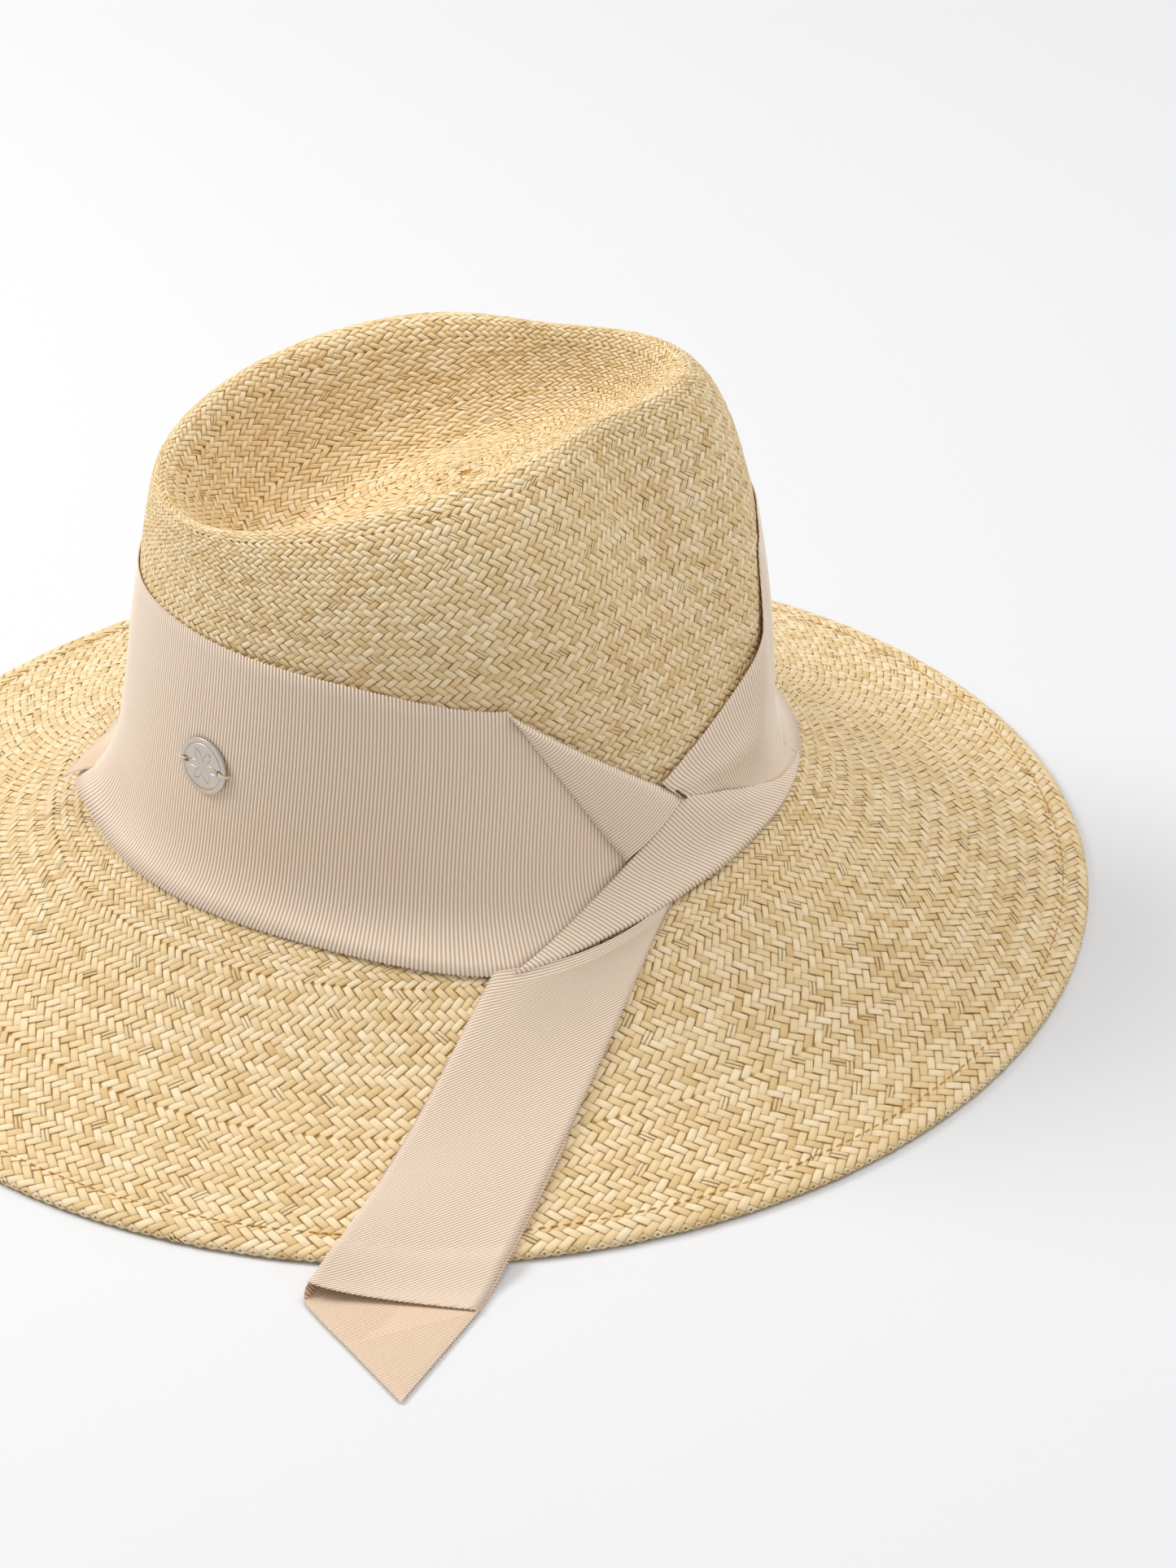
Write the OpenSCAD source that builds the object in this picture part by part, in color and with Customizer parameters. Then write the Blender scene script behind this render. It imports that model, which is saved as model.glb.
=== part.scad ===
// Wide-brimmed woven straw hat with a teardrop crown, a wide ribbed ribbon
// gathered into a side knot, a folded ribbon tail and a stitched metal disc.
// +Z is up, the brim's edge rests on z = 0 and the front of the hat faces -Y.
// The origin is the centre of the head opening, dropped to the resting plane.
// Angles run around +Z from +X: 90 is the back, 180 the wearer's right side,
// 270 the front.

/* [Head opening] */
// Inside width of the sweatband, ear to ear
head_w = 164; // [140:1:180]
// Inside length of the sweatband, front to back
head_l = 196; // [170:1:214]

/* [Crown and brim] */
// Height of the crown's ridge above the crown's foot
crown_h = 117; // [98:1:135]
// Depth of the dent's deepest part, at the back, below the ridge
dent_depth = 39; // [22:1:44]
// Height of the crown's foot above the brim's edge
brim_drop = 48; // [30:1:56]
// Width of the brim in plan, crown's foot to edge
brim_w = 99; // [80:1:115]
// Thickness of the woven straw
straw_t = 1.5; // [1.2:0.1:2]
// Width of the brim's turned-under hem
hem_w = 7.5; // [5:0.5:10]
// Depth of the two front pinches as a share of the crown's radius
pinch = 0.2; // [0:0.01:0.24]

/* [Sweatband] */
// Height of the sweatband
sweatband_h = 36; // [28:1:42]
// Thickness of the sweatband
sweatband_t = 1.2; // [0.8:0.1:1.6]

/* [Ribbon] */
// Width of the ribbon
ribbon_w = 88; // [74:1:92]
// Thickness of one layer of ribbon
ribbon_t = 0.7; // [0.5:0.1:0.9]
// Length of the hanging tail along its longer edge, knot to cut end
tail_l = 144; // [120:1:172]
// Length of the pointed lower layer beyond the tail's cut end
tail_point = 47; // [16:1:56]

/* [Disc] */
// Diameter of the metal disc
disc_d = 18; // [14:0.5:22]
// Thickness of the metal disc
disc_t = 1; // [0.8:0.1:1.6]
// Diameter of the disc's two sewing holes
disc_hole_d = 1.8; // [1.2:0.1:2.2]

/* [Hidden] */

BACK = 90;
RIGHT = 180;
FRONT = 270;
clear = 0.4;               // air between the straw and the sweatband
ribbon_gap = 0.7;          // air between the straw and the ribbon on it
layer = ribbon_t + 0.4;    // rise from one ribbon layer to the next
thread_d = 0.9;
COLS = 96;                 // columns round the hat
STEP = 360 / COLS;
foot_x = head_w / 2 + sweatband_t + clear + straw_t;
foot_y = head_l / 2 + sweatband_t + clear + straw_t;
edge_z = 2 * straw_t + 0.09;
foot_z = edge_z + brim_drop;
tip_z = foot_z + crown_h;

// The profile's control rings, from the dent's centre over the ridge, down the side
// and out along the brim. Each row is [half width, half length, shift to the back,
// height, rise at the back, rise at the sides, widening to the back, pinch].
RINGS = [
    [0, 0, -8, tip_z - 0.44 * dent_depth, 0, 0, 0, 0],
    [foot_x * 0.118, foot_y * 0.198, -6, tip_z - 0.46 * dent_depth, -0.15 * dent_depth, 0, 0, 0],
    [foot_x * 0.247, foot_y * 0.426, -1, tip_z - 0.59 * dent_depth, -0.385 * dent_depth, 0, 0.22, 0],
    [foot_x * 0.388, foot_y * 0.594, 3, tip_z - 0.51 * dent_depth, -0.46 * dent_depth, 3, 0.25, pinch * 0.1],
    [foot_x * 0.494, foot_y * 0.703, 4, tip_z - 0.15 * dent_depth, -12, 8, 0.22, pinch * 0.3],
    [foot_x * 0.588, foot_y * 0.792, 6, tip_z + 4, -11, 9, 0.15, pinch * 0.7],
    [foot_x * 0.788, foot_y * 0.861, 0, foot_z + crown_h * 0.94, -8, 4, 0.06, pinch],
    [foot_x * 0.953, foot_y * 0.92, -3, foot_z + crown_h * 0.727, 0, 0, 0.03, pinch * 0.8],
    [foot_x * 0.982, foot_y * 0.96, -3, foot_z + crown_h * 0.427, 0, 0, 0, pinch * 0.3],
    [foot_x * 0.976, foot_y * 0.985, -1, foot_z + crown_h * 0.171, 0, 0, 0, 0],
    [foot_x, foot_y, 0, foot_z, 0, 0, 0, 0],
    [foot_x + brim_w * 0.13, foot_y + brim_w * 0.14, 0, edge_z + brim_drop * 0.86, 0, 0, 0, 0],
    [foot_x + brim_w * 0.52, foot_y + brim_w * 0.53, 0, edge_z + brim_drop * 0.32, 0, 0, 0, 0],
    [foot_x + brim_w, foot_y + brim_w, 0, edge_z, 0, 0, 0, 0]
];
FOOT = 10;                 // ring at the crown's foot
EDGE = len(RINGS) - 1;     // ring at the brim's edge
PINCH_AT = 50;             // angle of each pinch from the front
PINCH_SPREAD = 24;

// ---- the woven surface as a formula -------------------------------------------

function pinched(a) =
    exp(-pow((abs(atan2(cos(a), -sin(a))) - PINCH_AT) / PINCH_SPREAD, 2));

function on_ring(r, a) =
    let (s = sin(a), c = cos(a), k = 1 - r[7] * pinched(a))
    [r[0] * c * (1 + r[6] * s) * k, r[2] + r[1] * s * k, r[3] + r[4] * s + r[5] * c * c];

// Control point i at angle a. Past the centre it is the opposite side, past the edge
// the profile runs on straight.
function control(i, a) =
    i < 0 ? on_ring(RINGS[-i], a + 180) :
    i > EDGE ? 2 * on_ring(RINGS[EDGE], a) - on_ring(RINGS[EDGE - 1], a) :
    on_ring(RINGS[i], a);

// Top surface of the straw at ring number u (a cubic B-spline) and angle a.
function straw(u, a) =
    let (i = min(floor(u), EDGE - 1), t = u - i)
    (pow(1 - t, 3) * control(i - 1, a) + (3 * t * t * t - 6 * t * t + 4) * control(i, a)
    + (3 * t * t - 3 * t * t * t + 3 * t + 1) * control(i + 1, a)
    + t * t * t * control(i + 2, a)) / 6;

function unit(v) = v / norm(v);

function outward(u, a) =
    let (d = 0.02, w = max(u, 0.3), top = min(w + d, EDGE))
    unit(cross(straw(top, a) - straw(w - d, a), straw(w, a + 1) - straw(w, a - 1)));

function raised(u, a, h) = straw(u, a) + h * outward(u, a);

// Ring number at distance v along the right side's profile, measured down from the
// crown's foot, so up the crown is negative and out along the brim positive.
SAMPLES = [for (i = [0 : 4 * EDGE]) straw(i / 4, RIGHT)];
function run(i) = i == 0 ? [0]
    : let (r = run(i - 1)) concat(r, [r[i - 1] + norm(SAMPLES[i] - SAMPLES[i - 1])]);
RUN = run(4 * EDGE);
RUN_TO_RING = [for (i = [0 : 4 * EDGE]) [RUN[i] - RUN[4 * FOOT], i / 4]];
RING_TO_RUN = [for (r = RUN_TO_RING) [r[1], r[0]]];
function ring_at(v) = lookup(v, RUN_TO_RING);
function on_hat(a, v, h) = raised(ring_at(v), a, h);

// Ring number of the brim under the plan point (x, y), by halving the interval.
function brim_ring(x, y, lo = FOOT, hi = EDGE, left = 22) =
    left == 0 ? (lo + hi) / 2 :
    let (m = (lo + hi) / 2, p = straw(m, 0)[0], q = straw(m, 90)[1])
    x * x / (p * p) + y * y / (q * q) > 1
        ? brim_ring(x, y, m, hi, left - 1)
        : brim_ring(x, y, lo, m, left - 1);

// ---- closed solids from grids of points ------------------------------------------

// A tube whose rows are closed loops of points, capped at both ends.
module lofted(rows) {
    n = len(rows[0]);
    m = len(rows);
    polyhedron(
        points = [for (r = rows) each r],
        faces = concat(
            [[for (j = [n - 1 : -1 : 0]) j]],
            [for (i = [0 : m - 2], j = [0 : n - 1])
                let (k = (j + 1) % n)
                each [[i * n + j, i * n + k, (i + 1) * n + k],
                      [i * n + j, (i + 1) * n + k, (i + 1) * n + j]]],
            [[for (j = [0 : n - 1]) (m - 1) * n + j]]));
}

// The same with its last row joined to its first.
module looped(rows) {
    n = len(rows[0]);
    m = len(rows);
    polyhedron(
        points = [for (r = rows) each r],
        faces = [for (i = [0 : m - 1], j = [0 : n - 1])
            let (k = (j + 1) % n, d = (i + 1) % m)
            each [[i * n + j, i * n + k, d * n + k],
                  [i * n + j, d * n + k, d * n + j]]]);
}

// One cross-section of a flat strip: along its lower face, then back along its upper.
function strip(low, high) = concat(low, [for (i = [len(high) - 1 : -1 : 0]) high[i]]);

// A layer of ribbon on the hat. Its edges are the runs top(a) and foot(a), given as
// lists over the angles in at, and it lies h above the straw.
module ribbon_layer(at, top, foot, h, parts = 8) {
    lofted([for (i = [0 : len(at) - 1])
        let (v = [for (j = [0 : parts]) top[i] + (foot[i] - top[i]) * j / parts])
        strip([for (x = v) on_hat(at[i], x, h)],
              [for (x = v) on_hat(at[i], x, h + ribbon_t)])]);
}

module rod(p, q, d) {
    w = q - p;
    translate(p)
    rotate([0, acos(w[2] / norm(w)), atan2(w[1], w[0])])
    cylinder(d = d, h = norm(w), $fn = 24);
}

// ---- straw ----------------------------------------------------------------------

CROWN_ROWS = [0.4, 1, 1.6, 2.1, 2.6, 3.05, 3.5, 3.9, 4.3, 4.7, 5.1, 5.5, 5.9, 6.4,
              6.9, 7.4, 8, 8.5, 9, 9.3, 9.6, 9.9, 10.2, 10.5, 10.9];
BRIM_ROWS = [11.3, 11.8, 12.3, 12.7];

// Crown and brim are woven in one piece. The brim's edge is turned under and lies
// against the brim as a second layer, hem_w wide.
module straw_body() {
    hem_ring = ring_at(RING_TO_RUN[4 * EDGE][1] - hem_w);
    rows = concat(
        [for (u = CROWN_ROWS) [u, 0, 0]],
        [for (u = BRIM_ROWS) [u, 0, 0]],
        [for (t = [0 : 45 : 180]) [EDGE, straw_t * (cos(t) - 1), straw_t * sin(t)]],
        [[hem_ring, -2 * straw_t, 0], [hem_ring, -straw_t, -0.4]],
        [for (i = [len(BRIM_ROWS) - 1 : -1 : 0]) [BRIM_ROWS[i], -straw_t, 0]],
        [for (i = [len(CROWN_ROWS) - 1 : -1 : 0]) [CROWN_ROWS[i], -straw_t, 0]]);
    n = COLS;
    m = len(rows);
    points = concat(
        [for (r = rows, j = [0 : n - 1])
            let (a = j * STEP, u = r[0])
            raised(u, a, r[1]) + r[2] * unit(straw(min(u + 0.02, EDGE), a) - straw(u - 0.02, a))],
        [straw(0, 0), straw(0, 0) - [0, 0, straw_t]]);
    color("#E6CB97")
    polyhedron(
        points = points,
        faces = concat(
            [for (j = [0 : n - 1]) [n * m, (j + 1) % n, j]],
            [for (i = [0 : m - 2], j = [0 : n - 1])
                let (k = (j + 1) % n)
                each [[i * n + j, i * n + k, (i + 1) * n + k],
                      [i * n + j, (i + 1) * n + k, (i + 1) * n + j]]],
            [for (j = [0 : n - 1]) [n * m + 1, (m - 1) * n + j, (m - 1) * n + (j + 1) % n]]));
}

// A thread that follows the hat round at ring number u, h above the straw.
module round_thread(u, h, drop = 0) {
    looped([for (j = [0 : COLS - 1])
        let (a = j * STEP, o = outward(u, a), p = straw(u, a) + h * o, w = [0, 0, 1],
             s = unit(cross(o, unit(straw(u, a + 1) - straw(u, a - 1)))))
        [for (t = [0 : 90 : 270]) p + thread_d / 2 * (cos(t) * o + sin(t) * s)]]);
}

module hem_thread() {
    color("#C9A56B")
    round_thread(ring_at(RING_TO_RUN[4 * EDGE][1] - hem_w), thread_d / 2 + 0.15);
}

// ---- sweatband ------------------------------------------------------------------

SWEAT_FOOT = 3;            // run of the sweatband's lower edge, past the crown's foot
function inside(a, v, h) = on_hat(a, v, -straw_t - clear - h);

module sweatband() {
    parts = 9;
    color("#D9B98C")
    looped([for (j = [0 : COLS - 1])
        let (a = j * STEP,
             v = [for (i = [0 : parts]) SWEAT_FOOT - sweatband_h * i / parts])
        strip([for (x = v) inside(a, x, 0)], [for (x = v) inside(a, x, sweatband_t)])]);
}

module sweatband_thread() {
    color("#EFE6D2")
    round_thread(ring_at(SWEAT_FOOT - 3.5),
                 -straw_t - clear - sweatband_t - thread_d / 2 - 0.15);
}

// Small flat bow on the sweatband's seam at the back: two loops and a centre knot.
module sweatband_bow() {
    bow_run = SWEAT_FOOT - sweatband_h + 12;
    p = inside(BACK, bow_run, sweatband_t + 1.5);
    color("#EADFC9")
    translate(p) rotate([90, 0, 0]) {
        translate([0, 0, -0.8]) cylinder(d = 4.4, h = 1.8, $fn = 32);
        for (side = [-1, 1])
            translate([side * 5.5, 0, -0.4]) scale([1.35, 0.9, 1]) cylinder(d = 6.4, h = 0.9, $fn = 32);
    }
}

// Blank woven tab sewn flat to the sweatband beside the seam.
module size_label() {
    a = BACK - 20;
    v = SWEAT_FOOT - sweatband_h / 2 - 1;
    p = inside(a, v, sweatband_t + 0.55);
    o = -outward(ring_at(v), a);
    color("#F4EFE4")
    translate(p)
    rotate([0, acos(o[2]), atan2(o[1], o[0])])
    translate([-7, -5.5, -0.2])
    cube([14, 11, 0.4]);
}

// ---- ribbon ---------------------------------------------------------------------

KNOT = 211;                // angle of the knot
BAND_END = 177;            // where the band starts to narrow into the knot
STRAP_END = 252;           // where the gathers open out into the full band
knot_run = -21;
function near_knot(a) = exp(-pow((a - 182) / 28, 2));
function band_middle(a) = ribbon_w * (-0.4 + 0.148 * near_knot(a));
function blend(p, q, t) = p + (q - p) * min(max(t, 0), 1);
function easing(t) = let (c = min(max(t, 0), 1)) c * c * (3 - 2 * c);

// Top and foot of the band. It is full width all round, and narrows to the knot.
function band_top(a) =
    a > BAND_END ? blend(band_middle(BAND_END) - ribbon_w / 2, knot_run - 4,
                         (a - BAND_END) / (KNOT - BAND_END))
                 : band_middle(a) - ribbon_w / 2;
function band_foot(a) =
    a > BAND_END ? blend(band_middle(BAND_END) + ribbon_w / 2, knot_run + 6,
                         (a - BAND_END) / (KNOT - BAND_END))
                 : band_middle(a) + ribbon_w / 2;

module band_ribbon() {
    from = STRAP_END - 360 + 1.5;
    at = [for (i = [0 : 78]) from + (KNOT - 6 - from) * i / 78];
    color("#E9CFB4")
    ribbon_layer(at, [for (a = at) band_top(a)], [for (a = at) band_foot(a)], ribbon_gap,
                 parts = 12);
}

// The front end of the band, gathered up to the knot above the lower fold.
function gather_top(a) =
    blend(knot_run - 7, band_middle(STRAP_END) - ribbon_w / 2,
          0.45 * (a - KNOT) / (STRAP_END - KNOT)
          + 0.55 * easing((a - KNOT - 22) / (STRAP_END - KNOT - 22)));
function crease(a) = blend(knot_run, 2, (a - KNOT) / 31);

module front_gather() {
    at = [for (i = [0 : 11]) KNOT + 1 + (STRAP_END - KNOT - 1.5) * i / 11];
    color("#E9CFB4")
    ribbon_layer(at, [for (a = at) gather_top(a)], [for (a = at) crease(a) - 1.2], ribbon_gap);
}

// Upper corner of the band folded down over its own end.
module knot_upper_fold() {
    vertex_a = 198;
    vertex_run = -10;
    start = band_top(BAND_END);
    at = [for (i = [0 : 9]) BAND_END + 1.5 + (KNOT - 2.5 - BAND_END) * i / 9];
    top = [for (a = at) blend(start, knot_run - 2, (a - BAND_END) / (KNOT - BAND_END)) + 0.5];
    foot = [for (a = at) a < vertex_a
        ? blend(start, vertex_run, (a - BAND_END) / (vertex_a - BAND_END)) + 1.5
        : blend(vertex_run, knot_run + 1, (a - vertex_a) / (KNOT - vertex_a)) + 0.3];
    color("#E6CAB0")
    ribbon_layer(at, top, foot, ribbon_gap + layer, parts = 4);
}

// Lower part of the ribbon, crossing the band's end from its foot up to the knot and
// running on under the crease to the front.
LOWER_FOOT = 10;           // run of the lower fold's bottom edge beside the knot
function lower_top(a) =
    a < KNOT ? blend(band_foot(BAND_END) - 3, knot_run + 2, (a - BAND_END) / (KNOT - BAND_END))
             : crease(a) + 0.6;
function lower_foot(a) =
    a < KNOT ? blend(band_foot(BAND_END), LOWER_FOOT, 1.5 * (a - BAND_END) / (KNOT - BAND_END))
             : blend(LOWER_FOOT, band_middle(STRAP_END) + ribbon_w / 2,
                     (a - KNOT) / (STRAP_END - KNOT));

module knot_lower_fold() {
    at = [for (i = [0 : 18]) BAND_END + 1.4 + (STRAP_END - BAND_END - 2) * i / 18];
    color("#EBD2B9")
    ribbon_layer(at, [for (a = at) lower_top(a)], [for (a = at) lower_foot(a)],
                 ribbon_gap + layer, parts = 6);
}

// The thread tack that holds the gathers together at the knot.
module knot_stitch() {
    h = ribbon_gap + 2 * layer + thread_d / 2;
    color("#7A5B3C")
    rod(on_hat(KNOT - 0.6, knot_run - 1.2, h), on_hat(KNOT + 0.9, knot_run + 1.5, h), thread_d * 0.8);
}

// ---- tail -----------------------------------------------------------------------

// The tail is the ribbon folded in half lengthwise. It comes out from under the lower
// fold, crosses the brim and its end lies on the table. The hinge line runs between
// the two root corners.
TAIL_LEFT = on_hat(172.5, 25.5, 0);
TAIL_RIGHT = on_hat(204, 14, 0);
HEADING_LEFT = 137;        // plan headings of the tail's two edges
HEADING_RIGHT = 141;
HEADING_POINT = 136;
TAIL_LIFT = thread_d + 0.7; // clear of the hem's thread
function plan(p) = [p[0], p[1]];
function heading(a) = [cos(a), sin(a)];
root_out = let (w = unit(plan(TAIL_LEFT - TAIL_RIGHT))) [-w[1], w[0]];
end_right = plan(TAIL_RIGHT) + tail_l * heading(HEADING_RIGHT);
end_left = plan(TAIL_LEFT) + (tail_l - 41) * heading(HEADING_LEFT);
tail_tip = end_right + tail_point * heading(HEADING_POINT);

// The root follows the curve of the fold above it, root_bow proud of the hinge line.
root_bow = 6.5;
root_gap = 2.4;
function tail_start(f) =
    plan(TAIL_LEFT) * (1 - f) + plan(TAIL_RIGHT) * f
    + (root_gap + root_bow * 4 * f * (1 - f)) * root_out;
function tail_end(f) = end_left * (1 - f) + end_right * f;
function tail_flap(f, t) =
    (end_left * (1 - t) + tail_tip * t) * (1 - f) + (end_right * (1 - t) + tail_tip * t) * f;

// Height of the tail's underside at a plan point: TAIL_LIFT over the straw, and past
// the brim's edge easing down onto the table.
function tail_height(q) =
    let (p = straw(EDGE, 0)[0], r = straw(EDGE, 90)[1],
         past = (norm([q[0] / p, q[1] / r]) - 1) * p)
    past > 0 ? (edge_z + TAIL_LIFT) * (1 - easing(past / 16)) + 0.1 * easing(past / 16)
             : straw(brim_ring(q[0], q[1]), 0)[2] + TAIL_LIFT;

function over(q, h) = [q[0], q[1], tail_height(q) + h];
function tail_row(points, thick) =
    strip([for (q = points) over(q, 0)], [for (q = points) over(q, thick)]);

module ribbon_tail() {
    rows = 20;
    cols = 4;
    across = [for (j = [cols : -1 : 0]) j / cols];
    color("#E9CFB4")
    lofted(concat(
        [for (i = [0 : rows])
            tail_row([for (f = across) tail_start(f) * (1 - i / rows) + tail_end(f) * i / rows],
                     2 * ribbon_t)],
        [for (t = [0.06, 0.25, 0.45, 0.65, 0.8, 0.9])
            tail_row([for (f = across) tail_flap(f, t)], ribbon_t)]));
}

// ---- disc -----------------------------------------------------------------------

DISC_A = 120;              // angle of the disc round the crown
disc_run = -37;
disc_h = ribbon_gap + ribbon_t + 0.2;
hole_at = disc_d / 2 - 2.4;

// Places children on the band where the disc is sewn, their Z pointing out of the
// hat and their X running round it.
module on_band() {
    o = outward(ring_at(disc_run), DISC_A);
    x = unit(cross([0, 0, 1], o));
    y = cross(o, x);
    p = on_hat(DISC_A, disc_run, disc_h);
    multmatrix([[x[0], y[0], o[0], p[0]], [x[1], y[1], o[1], p[1]], [x[2], y[2], o[2], p[2]],
                [0, 0, 0, 1]])
    children();
}

module medallion() {
    color("#B9B5AE")
    on_band() difference() {
        union() {
            cylinder(d = disc_d, h = disc_t * 0.8, $fn = 96);
            translate([0, 0, disc_t * 0.8])
            cylinder(d1 = disc_d, d2 = disc_d - disc_t * 0.4, h = disc_t * 0.2, $fn = 96);
        }
        for (side = [-1, 1])
            translate([side * hole_at, 0, -1])
            cylinder(d = disc_hole_d, h = disc_t + 2, $fn = 32);
    }
}

// One stitch at each hole: up through it, over the rim and down to the ribbon.
module medallion_threads() {
    d = thread_d * 0.7;
    top = disc_t + d / 2 + 0.1;
    rim = disc_d / 2 + d / 2 + 0.15;
    color("#EADFC9")
    on_band() for (side = [-1, 1]) {
        rod([side * hole_at, 0, 0.1], [side * hole_at, 0, top], d);
        rod([side * hole_at, 0, top], [side * rim, 0, top], d);
        rod([side * rim, 0, 0.4], [side * rim, 0, top], d);
        for (x = [hole_at, rim]) translate([side * x, 0, top]) sphere(d = d, $fn = 24);
    }
}

straw_body();
hem_thread();
sweatband();
sweatband_thread();
sweatband_bow();
size_label();
band_ribbon();
front_gather();
knot_upper_fold();
knot_lower_fold();
knot_stitch();
medallion();
medallion_threads();
ribbon_tail();
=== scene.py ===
import math

import bmesh
import bpy
import numpy as np
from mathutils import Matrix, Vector


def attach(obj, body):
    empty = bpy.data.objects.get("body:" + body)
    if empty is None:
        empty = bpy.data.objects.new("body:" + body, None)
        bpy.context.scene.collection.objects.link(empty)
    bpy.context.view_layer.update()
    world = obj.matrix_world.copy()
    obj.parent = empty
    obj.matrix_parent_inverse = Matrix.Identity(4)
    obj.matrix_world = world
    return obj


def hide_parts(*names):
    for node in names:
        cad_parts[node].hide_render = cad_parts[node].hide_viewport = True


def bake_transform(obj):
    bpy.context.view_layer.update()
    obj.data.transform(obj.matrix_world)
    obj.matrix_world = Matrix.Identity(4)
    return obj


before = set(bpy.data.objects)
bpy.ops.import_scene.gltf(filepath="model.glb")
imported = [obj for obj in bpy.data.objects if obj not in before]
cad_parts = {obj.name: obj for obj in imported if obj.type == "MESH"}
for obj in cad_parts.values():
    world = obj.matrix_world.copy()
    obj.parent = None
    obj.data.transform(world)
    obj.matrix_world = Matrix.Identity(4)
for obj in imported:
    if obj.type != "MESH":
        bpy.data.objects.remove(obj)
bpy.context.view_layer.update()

MM = 0.001

# ---- camera, light and floor ---------------------------------------------------------

AZIMUTH, ELEVATION, DISTANCE = math.radians(254.24), math.radians(34.54), 1.75096
LOOK_AT = Vector((0.0431, -0.05731, 0))
toward_camera = Vector((math.sin(AZIMUTH) * math.cos(ELEVATION),
                        -math.cos(AZIMUTH) * math.cos(ELEVATION), math.sin(ELEVATION)))
camera_data = bpy.data.cameras.new("camera")
camera_data.sensor_width = 36
camera_data.lens = 124.92
camera_data.clip_start, camera_data.clip_end = 0.1, 50
camera = bpy.data.objects.new("camera", camera_data)
camera.location = LOOK_AT + toward_camera * DISTANCE
camera.rotation_mode = "QUATERNION"
camera.rotation_quaternion = (-toward_camera).to_track_quat("-Z", "Y")
bpy.context.scene.collection.objects.link(camera)
bpy.context.scene.camera = camera
bpy.context.scene.view_settings.view_transform = "Standard"


def soft_box(name, place, size, power, warmth=(1, 1, 1)):
    """A square lamp that faces the hat."""
    lamp = bpy.data.lights.new(name, "AREA")
    lamp.size, lamp.energy, lamp.color = size, power, warmth
    ob = bpy.data.objects.new(name, lamp)
    ob.location = place
    ob.rotation_mode = "QUATERNION"
    ob.rotation_quaternion = (Vector((0, 0, 0.06)) - Vector(place)).to_track_quat("-Z", "Y")
    bpy.context.scene.collection.objects.link(ob)


right = Vector((math.cos(AZIMUTH), math.sin(AZIMUTH), 0))
back = -Vector((toward_camera.x, toward_camera.y, 0)).normalized()
soft_box("key", -right * 1.3 + back * 0.3 + Vector((0, 0, 1.3)), 0.8, 22, (1, 0.98, 0.95))
soft_box("overhead", right * 0.7 + back * 0.2 + Vector((0, 0, 2.1)), 1.8, 24, (1, 0.985, 0.96))
soft_box("fill", right * 1.5 - back * 1.2 + Vector((0, 0, 1.0)), 1.6, 4, (1, 0.985, 0.96))

# ---- node graphs -----------------------------------------------------------------------


class Wire:
    """An output of a node that can be used in sums."""

    def __init__(self, graph, socket):
        self.graph, self.socket = graph, socket

    def sum(self, kind, *parts):
        return self.graph.add("ShaderNodeMath", {"operation": kind}, dict(enumerate(parts)))

    def __add__(self, other): return self.sum("ADD", self, other)
    def __radd__(self, other): return self.sum("ADD", other, self)
    def __sub__(self, other): return self.sum("SUBTRACT", self, other)
    def __rsub__(self, other): return self.sum("SUBTRACT", other, self)
    def __mul__(self, other): return self.sum("MULTIPLY", self, other)
    def __truediv__(self, other): return self.sum("DIVIDE", self, other)
    def __pow__(self, other): return self.sum("POWER", self, other)
    def __mod__(self, other): return self.sum("FLOORED_MODULO", self, other)
    def __lt__(self, other): return self.sum("LESS_THAN", self, other)
    def __gt__(self, other): return self.sum("GREATER_THAN", self, other)
    def __abs__(self): return self.sum("ABSOLUTE", self)
    def cos(self): return self.sum("COSINE", self)
    def at_least(self, other): return self.sum("MAXIMUM", self, other)
    def at_most(self, other): return self.sum("MINIMUM", self, other)


class Graph:
    """A node tree that grows by one call per node."""

    def __init__(self, tree):
        self.tree = tree

    def add(self, kind, settings=None, sockets=None, out=0):
        node = self.tree.nodes.new(kind)
        for name, value in (settings or {}).items():
            if name == "stops":
                ramp = node.color_ramp
                while len(ramp.elements) < len(value):
                    ramp.elements.new(0.5)
                for stop, (at, colour) in zip(ramp.elements, value):
                    stop.position, stop.color = at, (*colour, 1)
            else:
                setattr(node, name, value)
        for name, value in (sockets or {}).items():
            if isinstance(value, Wire):
                self.tree.links.new(value.socket, node.inputs[name])
            else:
                node.inputs[name].default_value = value
        return Wire(self, node.outputs[out])

    def split(self, vector):
        """The X and Y of a vector."""
        node = self.add("ShaderNodeSeparateXYZ", None, {0: vector}).socket.node
        return Wire(self, node.outputs[0]), Wire(self, node.outputs[1])


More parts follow.
